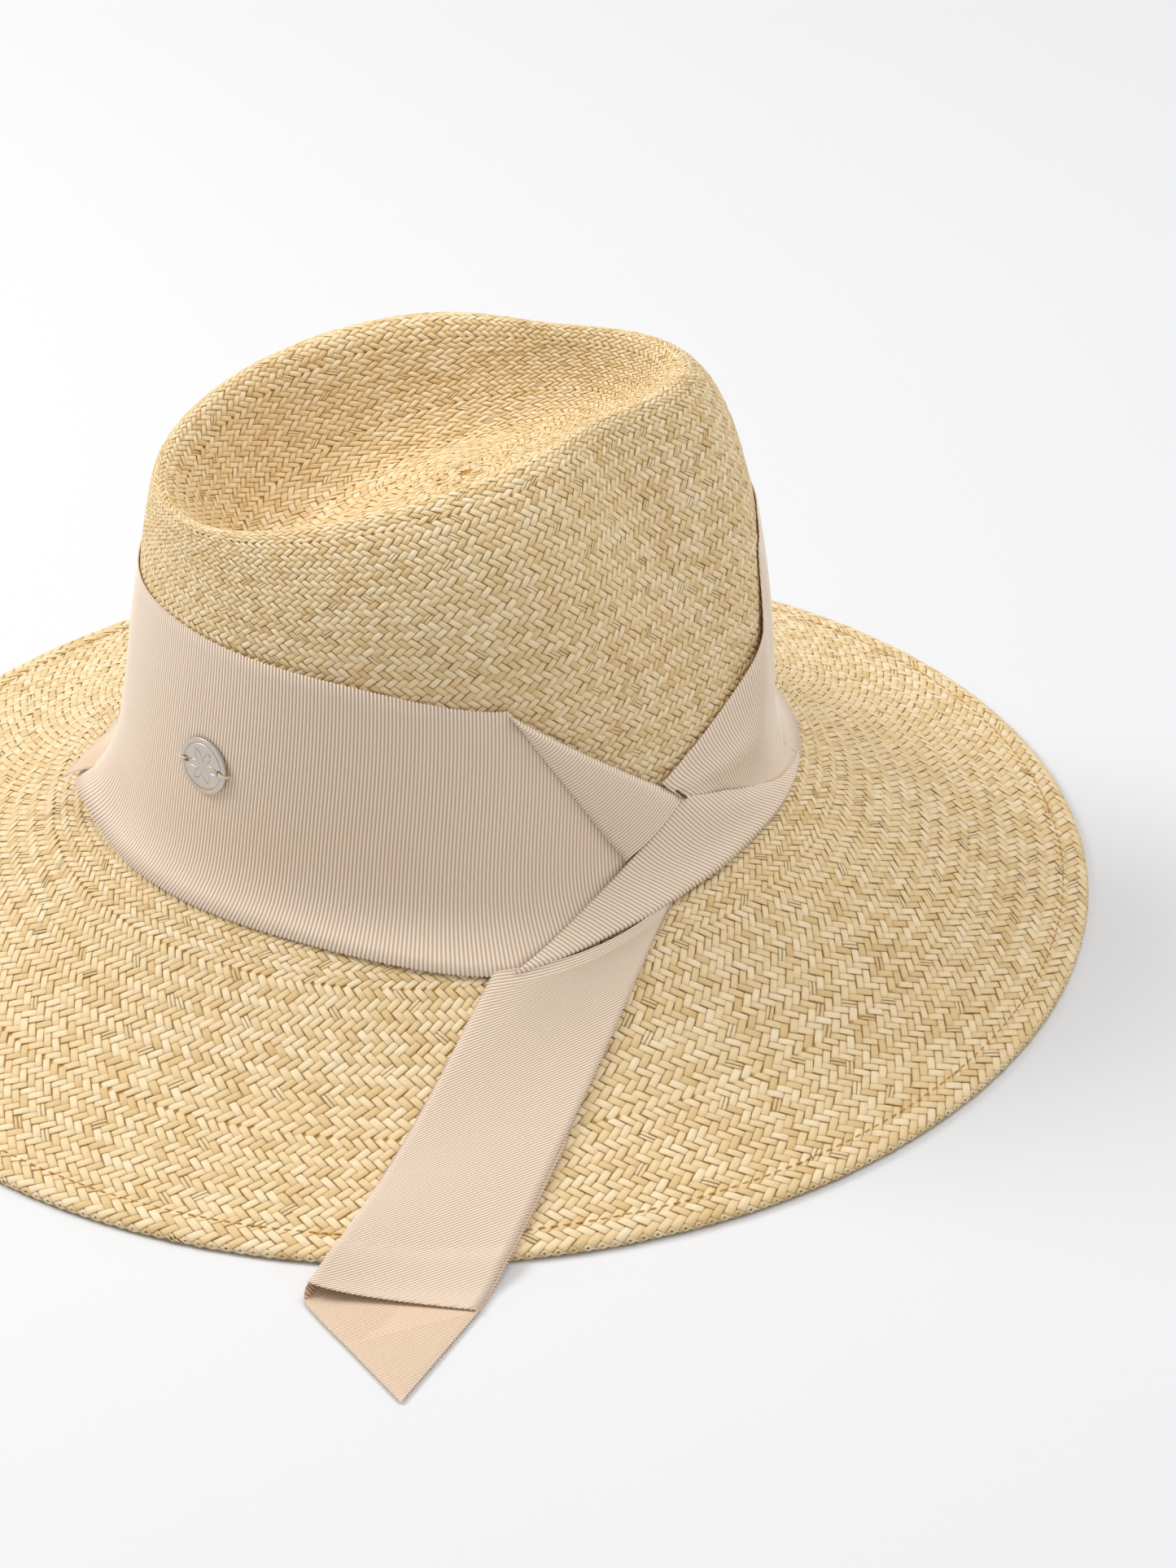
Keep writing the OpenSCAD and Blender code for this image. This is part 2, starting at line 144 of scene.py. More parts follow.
class Finish(Graph):
    """A material whose shader is one Principled BSDF."""

    def __init__(self, name, **constants):
        self.material = bpy.data.materials.new(name)
        self.material.use_nodes = True
        super().__init__(self.material.node_tree)
        self.shader = self.tree.nodes["Principled BSDF"]
        for socket, value in constants.items():
            self.shader.inputs[socket.replace("_", " ")].default_value = value

    def set(self, socket, value):
        self.tree.links.new(value.socket, self.shader.inputs[socket])

    def mix(self, share, one, other):
        return self.add("ShaderNodeMix", {"data_type": "RGBA"}, {0: share, 6: one, 7: other}, 2)

    def attribute(self, name):
        return self.add("ShaderNodeAttribute", {"attribute_name": name}, out=2)

    def place(self, scale=(1, 1, 1)):
        where = self.add("ShaderNodeTexCoord", out="Object")
        return self.add("ShaderNodeMapping", None, {0: where, 3: scale})

    def noise(self, vector, scale, detail=3, roughness=0.55):
        return self.add("ShaderNodeTexNoise", None, {
            "Vector": vector, "Scale": scale, "Detail": detail, "Roughness": roughness})

    def bump(self, height, depth, strength):
        self.set("Normal", self.add("ShaderNodeBump", None,
                                    {"Height": height, "Distance": depth, "Strength": strength}))


def colour(*rgb):
    """An sRGB colour from 0 to 255, as a linear one."""
    return tuple(c / 255 / 12.92 if c <= 10 else ((c / 255 + 0.055) / 1.055) ** 2.4
                 for c in rgb) + (1,)


def floor_finish():
    f = Finish("pale floor", Roughness=0.9, Specular_IOR_Level=0.1)
    cloud = f.noise(f.place(), 1.5, 2)
    f.set("Base Color", f.mix(cloud, colour(227, 229, 233), colour(224, 226, 230)))
    return f.material


def straw_finish():
    """Split palm straw: fibres run along each strand, each strand has its own tone, and painted
    shade darkens its ends and sides.
    """
    f = Finish("toquilla straw", Roughness=0.62, Specular_IOR_Level=0.32)
    tone = f.attribute("tone")
    along, across = f.split(f.add("ShaderNodeUVMap", {"uv_map": "along"}))
    strand = f.add("ShaderNodeCombineXYZ", None, {
        0: along * 1.6 + tone * 37, 1: across * 9 + tone * 91})
    fibre = f.noise(strand, 1.9, 3, 0.6)
    body = f.add("ShaderNodeValToRGB", {"stops": [
        (0.0, colour(218, 188, 136)[:3]), (0.2, colour(230, 205, 158)[:3]),
        (0.6, colour(237, 215, 173)[:3]), (1.0, colour(244, 227, 193)[:3])]}, {0: tone})
    patch = f.noise(f.place(), 22, 3)
    body = f.mix((patch - 0.4).at_least(0) * 1.2, body, colour(233, 207, 158))
    body = f.mix((fibre - 0.45).at_least(0) * 1.3, body, colour(216, 184, 130))
    # Painted shade: each strand darkens towards its ends and sides, where the crossing strands
    # shade it.
    ends = (abs(along - 0.5) * 2) ** 7
    sides = (abs(across - 0.5) * 2) ** 7
    body = f.mix((ends * 0.5 + sides * 0.3).at_most(0.7), body, colour(192, 146, 78))
    f.set("Base Color", body)
    f.bump(fibre, 0.00012, 0.5)
    return f.material


def gap_shade_finish():
    # Painted shade: the straw seen in the gaps between the strands is darker and warmer, for the
    # shade that falls there.
    f = Finish("straw between the strands, painted shade", Roughness=0.85, Specular_IOR_Level=0.15)
    cloud = f.noise(f.place(), 260, 2)
    f.set("Base Color", f.mix(cloud, colour(196, 150, 84), colour(166, 120, 60)))
    return f.material


def ribbon_finish(name, side):
    """Ribbed ribbon: pale crests, and painted shade that darkens the grooves. The ribs stand out on
    one side, side 1, and are hollow on the other, side -1, whose groove shade is warmer, a painted
    glow of light through the ribbon."""
    f = Finish(name, Roughness=0.58, Specular_IOR_Level=0.28, Sheen_Weight=0.18,
               Sheen_Roughness=0.5)
    # Painted shade: where the rib attribute is low, in the grooves, the colour is mixed toward the
    # darker shade colour.
    crest = (f.attribute("rib") * (0.5 * side) + 0.5).at_least(0) ** (0.55 if side > 0 else 1.1)
    speck = f.noise(f.place(), 900, 2)
    cloud = f.noise(f.place(), 18, 2)
    # The inner side's shade colour is warmer: painted shade with a painted glow of light shining
    # through the ribbon.
    if side > 0:
        light, middle, shade = (255, 244, 229), (252, 238, 220), (168, 122, 82)
    else:
        light, middle, shade = (250, 232, 210), (246, 226, 202), (178, 124, 74)
    body = f.mix(crest, colour(*shade), f.mix(cloud, colour(*light), colour(*middle)))
    f.set("Base Color", f.mix((speck - 0.4).at_least(0) * 0.3, body, colour(226, 198, 166)))
    f.bump(speck, 0.00006, 0.4)
    return f.material


def thread_finish(name, light, dark):
    f = Finish(name, Roughness=0.7, Specular_IOR_Level=0.2)
    twist = f.noise(f.place(), 1400, 2)
    f.set("Base Color", f.mix(twist, colour(*light), colour(*dark)))
    f.bump(twist, 0.0001, 0.5)
    return f.material


def leather_finish():
    f = Finish("sweatband leather", Roughness=0.5, Specular_IOR_Level=0.4)
    pores = f.add("ShaderNodeTexVoronoi", {"feature": "DISTANCE_TO_EDGE"},
                  {"Vector": f.place(), "Scale": 900.0})
    cloud = f.noise(f.place(), 35, 4)
    body = f.mix(cloud, colour(196, 160, 116), colour(176, 138, 94))
    body = f.mix((0.12 - pores).at_least(0) * 4, body, colour(150, 112, 72))
    f.set("Base Color", body)
    f.bump(pores.at_most(0.2), 0.0003, 0.5)
    return f.material


def cloth_finish(name, light, dark, pitch):
    """Fine plain-woven cloth."""
    f = Finish(name, Roughness=0.75, Specular_IOR_Level=0.2)
    place = f.place()
    warp = f.add("ShaderNodeTexWave", {"wave_type": "BANDS", "bands_direction": "Z"},
                 {"Vector": place, "Scale": 1 / pitch})
    weft = f.add("ShaderNodeTexWave", {"wave_type": "BANDS", "bands_direction": "X"},
                 {"Vector": place, "Scale": 1 / pitch})
    weave = warp * weft
    f.set("Base Color", f.mix(weave, colour(*dark), colour(*light)))
    f.bump(weave, 0.0001, 0.4)
    return f.material


def metal_finish():
    f = Finish("satin nickel", Metallic=1.0)
    brushed = f.noise(f.place((1, 1, 14)), 260, 3)
    wear = f.noise(f.place(), 120, 4)
    f.set("Base Color", f.mix(wear, colour(216, 209, 203), colour(190, 183, 176)))
    f.set("Roughness", brushed * 0.18 + 0.34)
    x, y = f.split(f.add("ShaderNodeUVMap", {"uv_map": "face"}))
    reach = (x * x + y * y) ** 0.5
    turn = f.add("ShaderNodeMath", {"operation": "ARCTAN2"}, {0: y, 1: x})
    petals = abs((turn * 3).cos()) * 0.5 + 0.1
    cut = (1 - abs(reach - petals) * 22).at_least(0) + (1 - abs(reach - 0.82) * 30).at_least(0)
    f.bump(brushed * 0.12 - cut.at_most(1), 0.00025, 0.8)
    return f.material


FLOOR = floor_finish()
STRAW = straw_finish()
GAP_SHADE = gap_shade_finish()
RIBBON = ribbon_finish("ribbed ribbon", 1)
RIBBON_INSIDE = ribbon_finish("ribbed ribbon, inner side", -1)
CREAM = thread_finish("cream thread", (238, 224, 200), (206, 186, 154))
TAN = thread_finish("hem thread", (206, 172, 116), (172, 132, 76))
DARK = thread_finish("knot thread", (120, 84, 54), (84, 56, 34))
LEATHER = leather_finish()
BOW = cloth_finish("bow ribbon", (236, 224, 204), (216, 200, 176), 0.0009)
LABEL = cloth_finish("label cloth", (246, 242, 232), (222, 214, 200), 0.0007)
NICKEL = metal_finish()

floor_mesh = bpy.data.meshes.new("floor")
floor_mesh.from_pydata([(-8, -8, 0), (8, -8, 0), (8, 8, 0), (-8, 8, 0)], [], [(0, 1, 2, 3)])
floor = bpy.data.objects.new("floor", floor_mesh)
floor_mesh.materials.append(FLOOR)
bpy.context.scene.collection.objects.link(floor)

world = bpy.data.worlds.new("studio")
world.use_nodes = True
world.node_tree.nodes["Background"].inputs[0].default_value = (1, 0.98, 0.955, 1)
world.node_tree.nodes["Background"].inputs[1].default_value = 0.42
bpy.context.scene.world = world

# ---- the hat's surface as a formula, in millimetres ------------------------------------

head_w, head_l = 164, 196
crown_h, dent_depth = 117, 39
brim_drop, brim_w = 48, 99
straw_t, hem_w, pinch = 1.5, 7.5, 0.2
sweatband_t = 1.2
ribbon_w, ribbon_t = 88, 0.7
clear, ribbon_gap = 0.4, 0.7
layer = ribbon_t + 0.4
foot_x = head_w / 2 + sweatband_t + clear + straw_t
foot_y = head_l / 2 + sweatband_t + clear + straw_t
edge_z = 2 * straw_t + 0.09
foot_z = edge_z + brim_drop
tip_z = foot_z + crown_h

# Control rings from the dent's centre over the ridge, down the side and out along the brim:
# half width, half length, shift to the back, height, rise at the back, rise at the sides,
# widening to the back, pinch.
RINGS = np.array([
    [0, 0, -8, tip_z - 0.44 * dent_depth, 0, 0, 0, 0],
    [foot_x * 0.118, foot_y * 0.198, -6, tip_z - 0.46 * dent_depth, -0.15 * dent_depth, 0, 0, 0],
    [foot_x * 0.247, foot_y * 0.426, -1, tip_z - 0.59 * dent_depth, -0.385 * dent_depth, 0,
     0.22, 0],
    [foot_x * 0.388, foot_y * 0.594, 3, tip_z - 0.51 * dent_depth, -0.46 * dent_depth, 3,
     0.25, pinch * 0.1],
    [foot_x * 0.494, foot_y * 0.703, 4, tip_z - 0.15 * dent_depth, -12, 8, 0.22, pinch * 0.3],
    [foot_x * 0.588, foot_y * 0.792, 6, tip_z + 4, -11, 9, 0.15, pinch * 0.7],
    [foot_x * 0.788, foot_y * 0.861, 0, foot_z + crown_h * 0.94, -8, 4, 0.06, pinch],
    [foot_x * 0.953, foot_y * 0.92, -3, foot_z + crown_h * 0.727, 0, 0, 0.03, pinch * 0.8],
    [foot_x * 0.982, foot_y * 0.96, -3, foot_z + crown_h * 0.427, 0, 0, 0, pinch * 0.3],
    [foot_x * 0.976, foot_y * 0.985, -1, foot_z + crown_h * 0.171, 0, 0, 0, 0],
    [foot_x, foot_y, 0, foot_z, 0, 0, 0, 0],
    [foot_x + brim_w * 0.13, foot_y + brim_w * 0.14, 0, edge_z + brim_drop * 0.86, 0, 0, 0, 0],
    [foot_x + brim_w * 0.52, foot_y + brim_w * 0.53, 0, edge_z + brim_drop * 0.32, 0, 0, 0, 0],
    [foot_x + brim_w, foot_y + brim_w, 0, edge_z, 0, 0, 0, 0]])
FOOT, EDGE = 10, 13
PINCH_AT, PINCH_SPREAD = 50, 24


def on_ring(ring, s, c):
    """Points of control rings at the angle whose sine and cosine are s and c."""
    front = np.abs(np.degrees(np.arctan2(c, -s)))
    f = 1 - ring[..., 7] * np.exp(-((front - PINCH_AT) / PINCH_SPREAD) ** 2)
    return np.stack([ring[..., 0] * c * (1 + ring[..., 6] * s) * f,
                     ring[..., 2] + ring[..., 1] * s * f,
                     ring[..., 3] + ring[..., 4] * s + ring[..., 5] * c * c], -1)


def control(i, s, c):
    """Control points number i: before the first the opposite side, past the last straight on."""
    points = on_ring(RINGS[np.clip(i, 0, EDGE)], s, c)
    before, past = (i < 0)[..., None], (i > EDGE)[..., None]
    beyond = (2 * on_ring(RINGS[np.full_like(i, EDGE)], s, c)
              - on_ring(RINGS[np.full_like(i, EDGE - 1)], s, c))
    points = np.where(before, on_ring(RINGS[np.clip(-i, 0, EDGE)], -s, -c), points)
    return np.where(past, beyond, points)


def straw(u, a):
    """Top surface of the straw at ring number u (a cubic B-spline) and angle a."""
    u, a = np.broadcast_arrays(np.asarray(u, float), np.radians(np.asarray(a, float)))
    s, c = np.sin(a), np.cos(a)
    i = np.clip(np.floor(u).astype(int), 0, EDGE - 1)
    t = (u - i)[..., None]
    return ((1 - t) ** 3 * control(i - 1, s, c) + (3 * t ** 3 - 6 * t * t + 4) * control(i, s, c)
            + (3 * t * t - 3 * t ** 3 + 3 * t + 1) * control(i + 1, s, c)
            + t ** 3 * control(i + 2, s, c)) / 6


def unit(v):
    return v / np.maximum(np.linalg.norm(v, axis=-1, keepdims=True), 1e-9)


# Runs: distance along the right side's profile from the crown's foot, negative up the
# crown and positive out along the brim, then round the rolled edge and in under the hem.
U_FINE = np.linspace(0, EDGE, 2601)
profile = straw(U_FINE, 180.0)
RUN_FINE = np.concatenate([[0], np.cumsum(np.linalg.norm(np.diff(profile, axis=0), axis=1))])
RUN_FINE -= RUN_FINE[FOOT * 200]
TOP_RUN, EDGE_RUN = RUN_FINE[0], RUN_FINE[-1]
ROLL = straw_t
HEM_END = EDGE_RUN + math.pi * ROLL + hem_w
STEP_RUN, STEP_ANGLE = 0.5, 0.5


def run_at(u):
    return float(np.interp(u, U_FINE, RUN_FINE))


def skin_tables():
    """Points and outward normals of the outer skin, from the dent's centre to the hem's end."""
    runs = np.arange(TOP_RUN, HEM_END + STEP_RUN, STEP_RUN)
    angles = np.arange(0, 360, STEP_ANGLE)
    inward = EDGE_RUN - (runs - EDGE_RUN - math.pi * ROLL)
    flat_run = np.where(runs <= EDGE_RUN, runs,
                        np.where(runs < EDGE_RUN + math.pi * ROLL, EDGE_RUN, inward))
    u = np.interp(flat_run, RUN_FINE, U_FINE)[:, None]
    turn = np.clip((runs - EDGE_RUN) / ROLL, 0, math.pi)[:, None, None]
    d = 0.02
    w = np.clip(u, 0.06, EDGE - d)
    points = straw(u, angles[None])
    down = straw(w + d, angles[None]) - straw(w - d, angles[None])
    around = straw(w, angles[None] + 1) - straw(w, angles[None] - 1)
    out = unit(np.cross(down, around))
    slope = unit(down)
    points = points + ROLL * (out * (np.cos(turn) - 1) + slope * np.sin(turn))
    return points, out * np.cos(turn) + slope * np.sin(turn)


SKIN, NORMALS = skin_tables()


def looked_up(table, a, v):
    """Table values between its points."""
    i = np.clip((v - TOP_RUN) / STEP_RUN, 0, table.shape[0] - 1.001)
    j = (a % 360) / STEP_ANGLE
    i0, j0 = np.floor(i).astype(int), np.floor(j).astype(int)
    fi, fj = (i - i0)[..., None], (j - j0)[..., None]
    n = table.shape[1]
    a0, a1 = j0 % n, (j0 + 1) % n
    return ((table[i0, a0] * (1 - fj) + table[i0, a1] * fj) * (1 - fi)
            + (table[i0 + 1, a0] * (1 - fj) + table[i0 + 1, a1] * fj) * fi)


def on_hat(a, v, h):
    """The point h above the straw at angle a and run v."""
    a, v, h = np.broadcast_arrays(np.asarray(a, float), np.asarray(v, float), np.asarray(h, float))
    return looked_up(SKIN, a, v) + h[..., None] * unit(looked_up(NORMALS, a, v))


def under_hat(a, v, h):
    """The point h below the straw's inner face."""
    return on_hat(a, v, -straw_t - np.asarray(h, float))


def easing(t):
    t = np.clip(t, 0, 1)
    return t * t * (3 - 2 * t)


# ---- meshes ------------------------------------------------------------------------------


def piece(name, mesh, finish):
    """A finished mesh as an object at the origin."""
    ob = bpy.data.objects.new(name, mesh)
    bpy.context.scene.collection.objects.link(ob)
    mesh.materials.clear()
    mesh.materials.append(finish)
    mesh.shade_smooth()
    return ob


def worn(ob, node=None):
    """A piece that moves with the hat and in place of a node."""
    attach(ob, "hat")
    if node:
        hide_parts(node)


def thicken(ob, thick, offset):
    """Gives a sheet its thickness in millimetres, to one side or, at offset 0, to both."""
    solid = ob.modifiers.new("thickness", "SOLIDIFY")
    solid.thickness, solid.offset = thick * MM, offset
    return solid


def grid_mesh(name, points, closed_u=False, closed_v=False):
    """A mesh of quads from rows of points in millimetres."""
    rows, cols = points.shape[:2]
    i = np.arange(rows if closed_u else rows - 1)[:, None]
    j = np.arange(cols if closed_v else cols - 1)[None]
    i1, j1 = (i + 1) % rows, (j + 1) % cols
    faces = np.stack([i * cols + j, i * cols + j1, i1 * cols + j1, i1 * cols + j], -1)
    faces = faces.reshape(-1, 4)
    mesh = bpy.data.meshes.new(name)
    mesh.from_pydata((points.reshape(-1, 3) * MM).tolist(), [], faces.tolist())
    return mesh


def tube(name, path, radius, sides):
    """A round tube along a path in millimetres, its ends closed."""
    ahead = unit(np.gradient(path, axis=0))
    side = unit(np.cross(ahead, [0.13, 0.21, 0.97]))
    lift = np.cross(side, ahead)
    t = np.arange(sides) * 2 * math.pi / sides
    ring = radius * (np.cos(t)[None, :, None] * side[:, None]
                     + np.sin(t)[None, :, None] * lift[:, None])
    mesh = grid_mesh(name, path[:, None] + ring, closed_v=True)
    bm = bmesh.new()
    bm.from_mesh(mesh)
    bmesh.ops.holes_fill(bm, edges=[e for e in bm.edges if e.is_boundary], sides=sides)
    bmesh.ops.recalc_face_normals(bm, faces=bm.faces)
    bm.to_mesh(mesh)
    bm.free()
    return mesh


def new_tree(name, inputs):
    """An empty Geometry Nodes tree with named inputs, and its graph and input wires."""
    tree = bpy.data.node_groups.new(name, "GeometryNodeTree")
    for label, kind in inputs:
        tree.interface.new_socket(label, in_out="INPUT", socket_type="NodeSocket" + kind)
    tree.interface.new_socket("Geometry", in_out="OUTPUT", socket_type="NodeSocketGeometry")
    graph = Graph(tree)
    entry = tree.nodes.new("NodeGroupInput")
    wires = {label: Wire(graph, entry.outputs[label]) for label, _ in inputs}
    return tree, graph, wires


def end_tree(graph, geometry, finish):
    """Realizes the instances, sets the material and ends the tree."""
    real = graph.add("GeometryNodeRealizeInstances", None, {"Geometry": geometry})
    made = graph.add("GeometryNodeSetMaterial", None, {"Geometry": real, "Material": finish})
    leave = graph.tree.nodes.new("NodeGroupOutput")
    graph.tree.links.new(made.socket, leave.inputs["Geometry"])


def grown(name, tree, **values):
    """The plain mesh that a Geometry Nodes tree makes from its named inputs."""
    holder = bpy.data.objects.new(name, bpy.data.meshes.new(name))
    bpy.context.scene.collection.objects.link(holder)
    grow = holder.modifiers.new(name, "NODES")
    grow.node_group = tree
    for item in tree.interface.items_tree:
        if item.item_type == "SOCKET" and item.in_out == "INPUT":
            grow[item.identifier] = values[item.name.replace(" ", "_")]
    bpy.context.view_layer.update()
    graph = bpy.context.evaluated_depsgraph_get()
    mesh = bpy.data.meshes.new_from_object(holder.evaluated_get(graph),
                                           preserve_all_data_layers=True, depsgraph=graph)
    holder.modifiers.remove(grow)
    bpy.data.objects.remove(holder)
    mesh.name = name
    return mesh


def wrapped(mesh, place):
    """Carries a flat mesh onto the hat: place turns its x, y and z into points in millimetres."""
    flat = np.empty(len(mesh.vertices) * 3, np.float32)
    mesh.vertices.foreach_get("co", flat)
    x, y, z = flat.reshape(-1, 3).astype(float).T
    mesh.vertices.foreach_set("co", (place(x, y, z) * MM).astype(np.float32).ravel())
    mesh.update()
    return mesh


# ---- straw -------------------------------------------------------------------------------

# A strand's visible length: stations along it with width and height, and its section.
STATIONS = [(-0.5, 0.9, -1.0), (-0.38, 1.0, -0.2), (0.0, 1.02, 0.0), (0.38, 1.0, -0.2),
            (0.5, 0.9, -1.0)]
LENGTH, WIDTH = 1.414, 0.707
LENGTHWISE, SIDEWAYS = 1.1, 1.03  # how far each strand reaches past its own place


def strand(name, section, stations, strips=((0, 1),)):
    """A short closed length of flat straw. Each strip is its middle and its share of the width."""
    points, faces, uv = [], [], []
    for middle, share in strips:
        start = len(points)
        n = len(section)
        for x, w, z in stations:
            for y, drop in section:
                across = middle + y * share * w
                points.append((x * LENGTH * LENGTHWISE, across * WIDTH * SIDEWAYS, z + drop))
                uv.append((x + 0.5, y * w + 0.5))
        m = len(stations)
        for i in range(m - 1):
            for j in range(n):
                k = (j + 1) % n
                p, q = start + i * n, start + (i + 1) * n
                faces.append((p + k, p + j, q + j, q + k))
        faces.append(tuple(start + j for j in range(n)))
        faces.append(tuple(start + (m - 1) * n + j for j in reversed(range(n))))
    mesh = bpy.data.meshes.new(name)
    mesh.from_pydata(points, [], faces)
    layer_uv = mesh.uv_layers.new(name="along")
    for loop in mesh.loops:
        layer_uv.data[loop.index].uv = uv[loop.vertex_index]
    ob = bpy.data.objects.new(name, mesh)
    bpy.context.scene.collection.objects.link(ob)
    return ob


FULL = [(-0.5, -0.6), (-0.36, -0.04), (0.36, -0.04), (0.5, -0.6)]
PLAIN = [(-0.5, -0.55), (0.0, 0.0), (0.5, -0.55)]
whole_strand = strand("whole_strand", FULL, STATIONS)
split_strand = strand("split_strand", PLAIN, STATIONS, ((-0.25, 0.52), (0.25, 0.52)))
inner_strand = strand("inner_strand", PLAIN,
                      [STATIONS[0], (-0.3, 1.0, -0.15), (0.3, 1.0, -0.15), STATIONS[4]])


def weave_tree():
    """The visible lengths of a twill weave, laid flat: one unit apart in rows one unit apart.
    Odd rows are half a length along and lean the other way. The lengths do not interlace."""
    tree, g, of = new_tree("twill weave", [
        ("Strands Around", "Int"), ("Rows", "Int"), ("Seed", "Int"), ("Looseness", "Float"),
        ("Split Share", "Float"), ("Strand", "Object"), ("Split Strand", "Object"),
        ("Finish", "Material")])
    points = g.add("GeometryNodeMeshGrid", None, {
        "Size X": of["Strands Around"] - 1, "Size Y": of["Rows"] - 1,
        "Vertices X": of["Strands Around"], "Vertices Y": of["Rows"]})
    x, y = g.split(g.add("GeometryNodeInputPosition"))
    x = x + (of["Strands Around"] - 1) * 0.5
    y = y + (of["Rows"] - 1) * 0.5
    odd = ((y + 0.5) % 2) > 1

    def chance(low, high, seed):
        return g.add("FunctionNodeRandomValue", {"data_type": "FLOAT"},
                     {2: low, 3: high, 8: of["Seed"] + seed}, 1)

    shaken = g.add("ShaderNodeCombineXYZ", None, {
        0: x + odd * 0.5 + of["Looseness"] * chance(-0.05, 0.05, 11),
        1: y + of["Looseness"] * chance(-0.04, 0.04, 12),
        2: of["Looseness"] * chance(-0.22, 0.16, 13)})
    placed = g.add("GeometryNodeSetPosition", None, {"Geometry": points, "Position": shaken})
    # The row is read again here, from the points that have moved.
    here = g.split(g.add("GeometryNodeInputPosition"))[1]
    leaning = ((here + 0.5) % 2) > 1
    turn = g.add("ShaderNodeCombineXYZ", None, {
        2: math.pi / 4 - leaning * (math.pi / 2) + of["Looseness"] * chance(-0.06, 0.06, 14)})
    size = g.add("ShaderNodeCombineXYZ", None, {
        0: 1.0, 1: 1 + of["Looseness"] * chance(-0.07, 0.05, 15), 2: 1.0})
    split = chance(0.0, 1.0, 16) < of["Split Share"]
    laid = []
    for strand_input, chosen in (("Strand", 1 - split), ("Split Strand", split)):
        shape = g.add("GeometryNodeObjectInfo", None, {"Object": of[strand_input]}, "Geometry")
        laid.append(g.add("GeometryNodeInstanceOnPoints", None, {
            "Points": placed, "Selection": chosen, "Instance": shape, "Rotation": turn,
            "Scale": size}))
    both = g.tree.nodes.new("GeometryNodeJoinGeometry")
    for one in laid:
        g.tree.links.new(one.socket, both.inputs[0])
    toned = g.add("GeometryNodeStoreNamedAttribute", {"data_type": "FLOAT", "domain": "INSTANCE"}, {
        "Geometry": Wire(g, both.outputs[0]), "Name": "tone", "Value": chance(0.0, 1.0, 17)})
    end_tree(g, toned, of["Finish"])
    return tree


WEAVE = weave_tree()

# Zones of the weave: first ring, last ring, strands around, distance of rows. More strands
# are worked in at each change.
ZONES = [(0.12, 0.42, 12, 1.5), (0.42, 0.85, 26, 1.5), (0.85, 1.35, 44, 1.5),
         (1.35, 2.05, 68, 1.6), (2.05, 3.0, 96, 1.7), (3.0, 4.2, 132, 1.9),
         (4.2, 5.4, 160, 2.2), (5.4, 7.8, 184, 2.5), (7.8, 10.2, 184, 2.5),
         (10.2, 11.1, 224, 2.7), (11.1, 12.2, 254, 3.2), (12.2, 13, 300, 3.6)]
HEM_ZONE, SWEATBAND_ZONE = (13, 13, 300, 3.0), (7.8, 8.8, 184, 2.5)
RELIEF = 0.5
WEAVE_LIFT = 0.1
EDGE_SEAM = 0.8  # how far past the brim's edge the outer weave gives way to the hem's


def hem_lift(v):
    """How much the turned hem stands above the brim, with the dent that its thread pulls."""
    inner = EDGE_RUN - hem_w
    up = 0.42 * easing((v - inner + 0.6) / 1.6)
    past = np.clip((v - EDGE_RUN) / ROLL, 0, math.pi)
    return up * (1 + np.cos(past)) / 2 - 0.55 * np.exp(-((v - inner - 0.2) / 0.75) ** 2)


def weave_zone(number, zone, outside):
    """One zone of the weave, grown flat and wrapped onto the outer or the inner face."""
    u0, u1, around, pitch = zone
    v0, v1 = run_at(u0), run_at(u1)
    if u1 == EDGE:
        v1 = EDGE_RUN + EDGE_SEAM if outside else EDGE_RUN - hem_w - 0.5
    if u0 == EDGE:
        v0, v1 = EDGE_RUN + EDGE_SEAM, HEM_END - 0.4
    rows = max(2, 2 * round((v1 - v0) / pitch / 2))
    gap = (v1 - v0) / rows
    flat = grown("weave", WEAVE, Strands_Around=around, Rows=rows,
                 Seed=number * 100 + 7 + 50 * outside, Looseness=1.0,
                 Split_Share=0.035 if outside else 0.0,
                 Strand=whole_strand if outside else inner_strand, Split_Strand=split_strand,
                 Finish=STRAW)
    if outside:
        def place(x, y, z):
            v = v1 - (y + 0.5) * gap
            return on_hat(x * 360 / around, v, z * RELIEF + hem_lift(v) + WEAVE_LIFT)
    else:
        def place(x, y, z):
            return under_hat(x * 360 / around, v0 + (y + 0.5) * gap, z * RELIEF * 0.8 + WEAVE_LIFT)
    return wrapped(flat, place)


def straw_shell():
    """The closed shell behind the strands, seen only in the gaps between them, in darkened straw as
    painted shade.
    """
    outer = np.concatenate([np.arange(TOP_RUN + 1.5, EDGE_RUN - 4, 2.5),
                            np.arange(EDGE_RUN - 4, HEM_END, 0.6)])
    inner = np.concatenate([[EDGE_RUN - hem_w - 0.6],
                            np.arange(EDGE_RUN - hem_w - 2, TOP_RUN + 1.5, -2.5)])
    a = np.arange(0, 360, 1.25)
    depth = 0.42
    rows = [on_hat(a, v, -depth + hem_lift(v)) for v in outer]
    rows += [on_hat(a, v, -straw_t + depth) for v in inner]
    points = np.array(rows)
    mesh = grid_mesh("straw_shell", points, closed_v=True)
    bm = bmesh.new()
    bm.from_mesh(mesh)
    bm.verts.ensure_lookup_table()
    n, last = len(a), (len(points) - 1) * len(a)
    for first, row_mean in ((0, points[0].mean(0)), (last, points[-1].mean(0))):
        hub = bm.verts.new(row_mean * MM)
        bm.verts.ensure_lookup_table()
        for j in range(n):
            bm.faces.new((hub, bm.verts[first + j], bm.verts[first + (j + 1) % n]))
    bmesh.ops.recalc_face_normals(bm, faces=bm.faces)
    bm.to_mesh(mesh)
    bm.free()
    return piece("straw_shell", mesh, GAP_SHADE)


shell = straw_shell()
worn(shell, "straw_body")

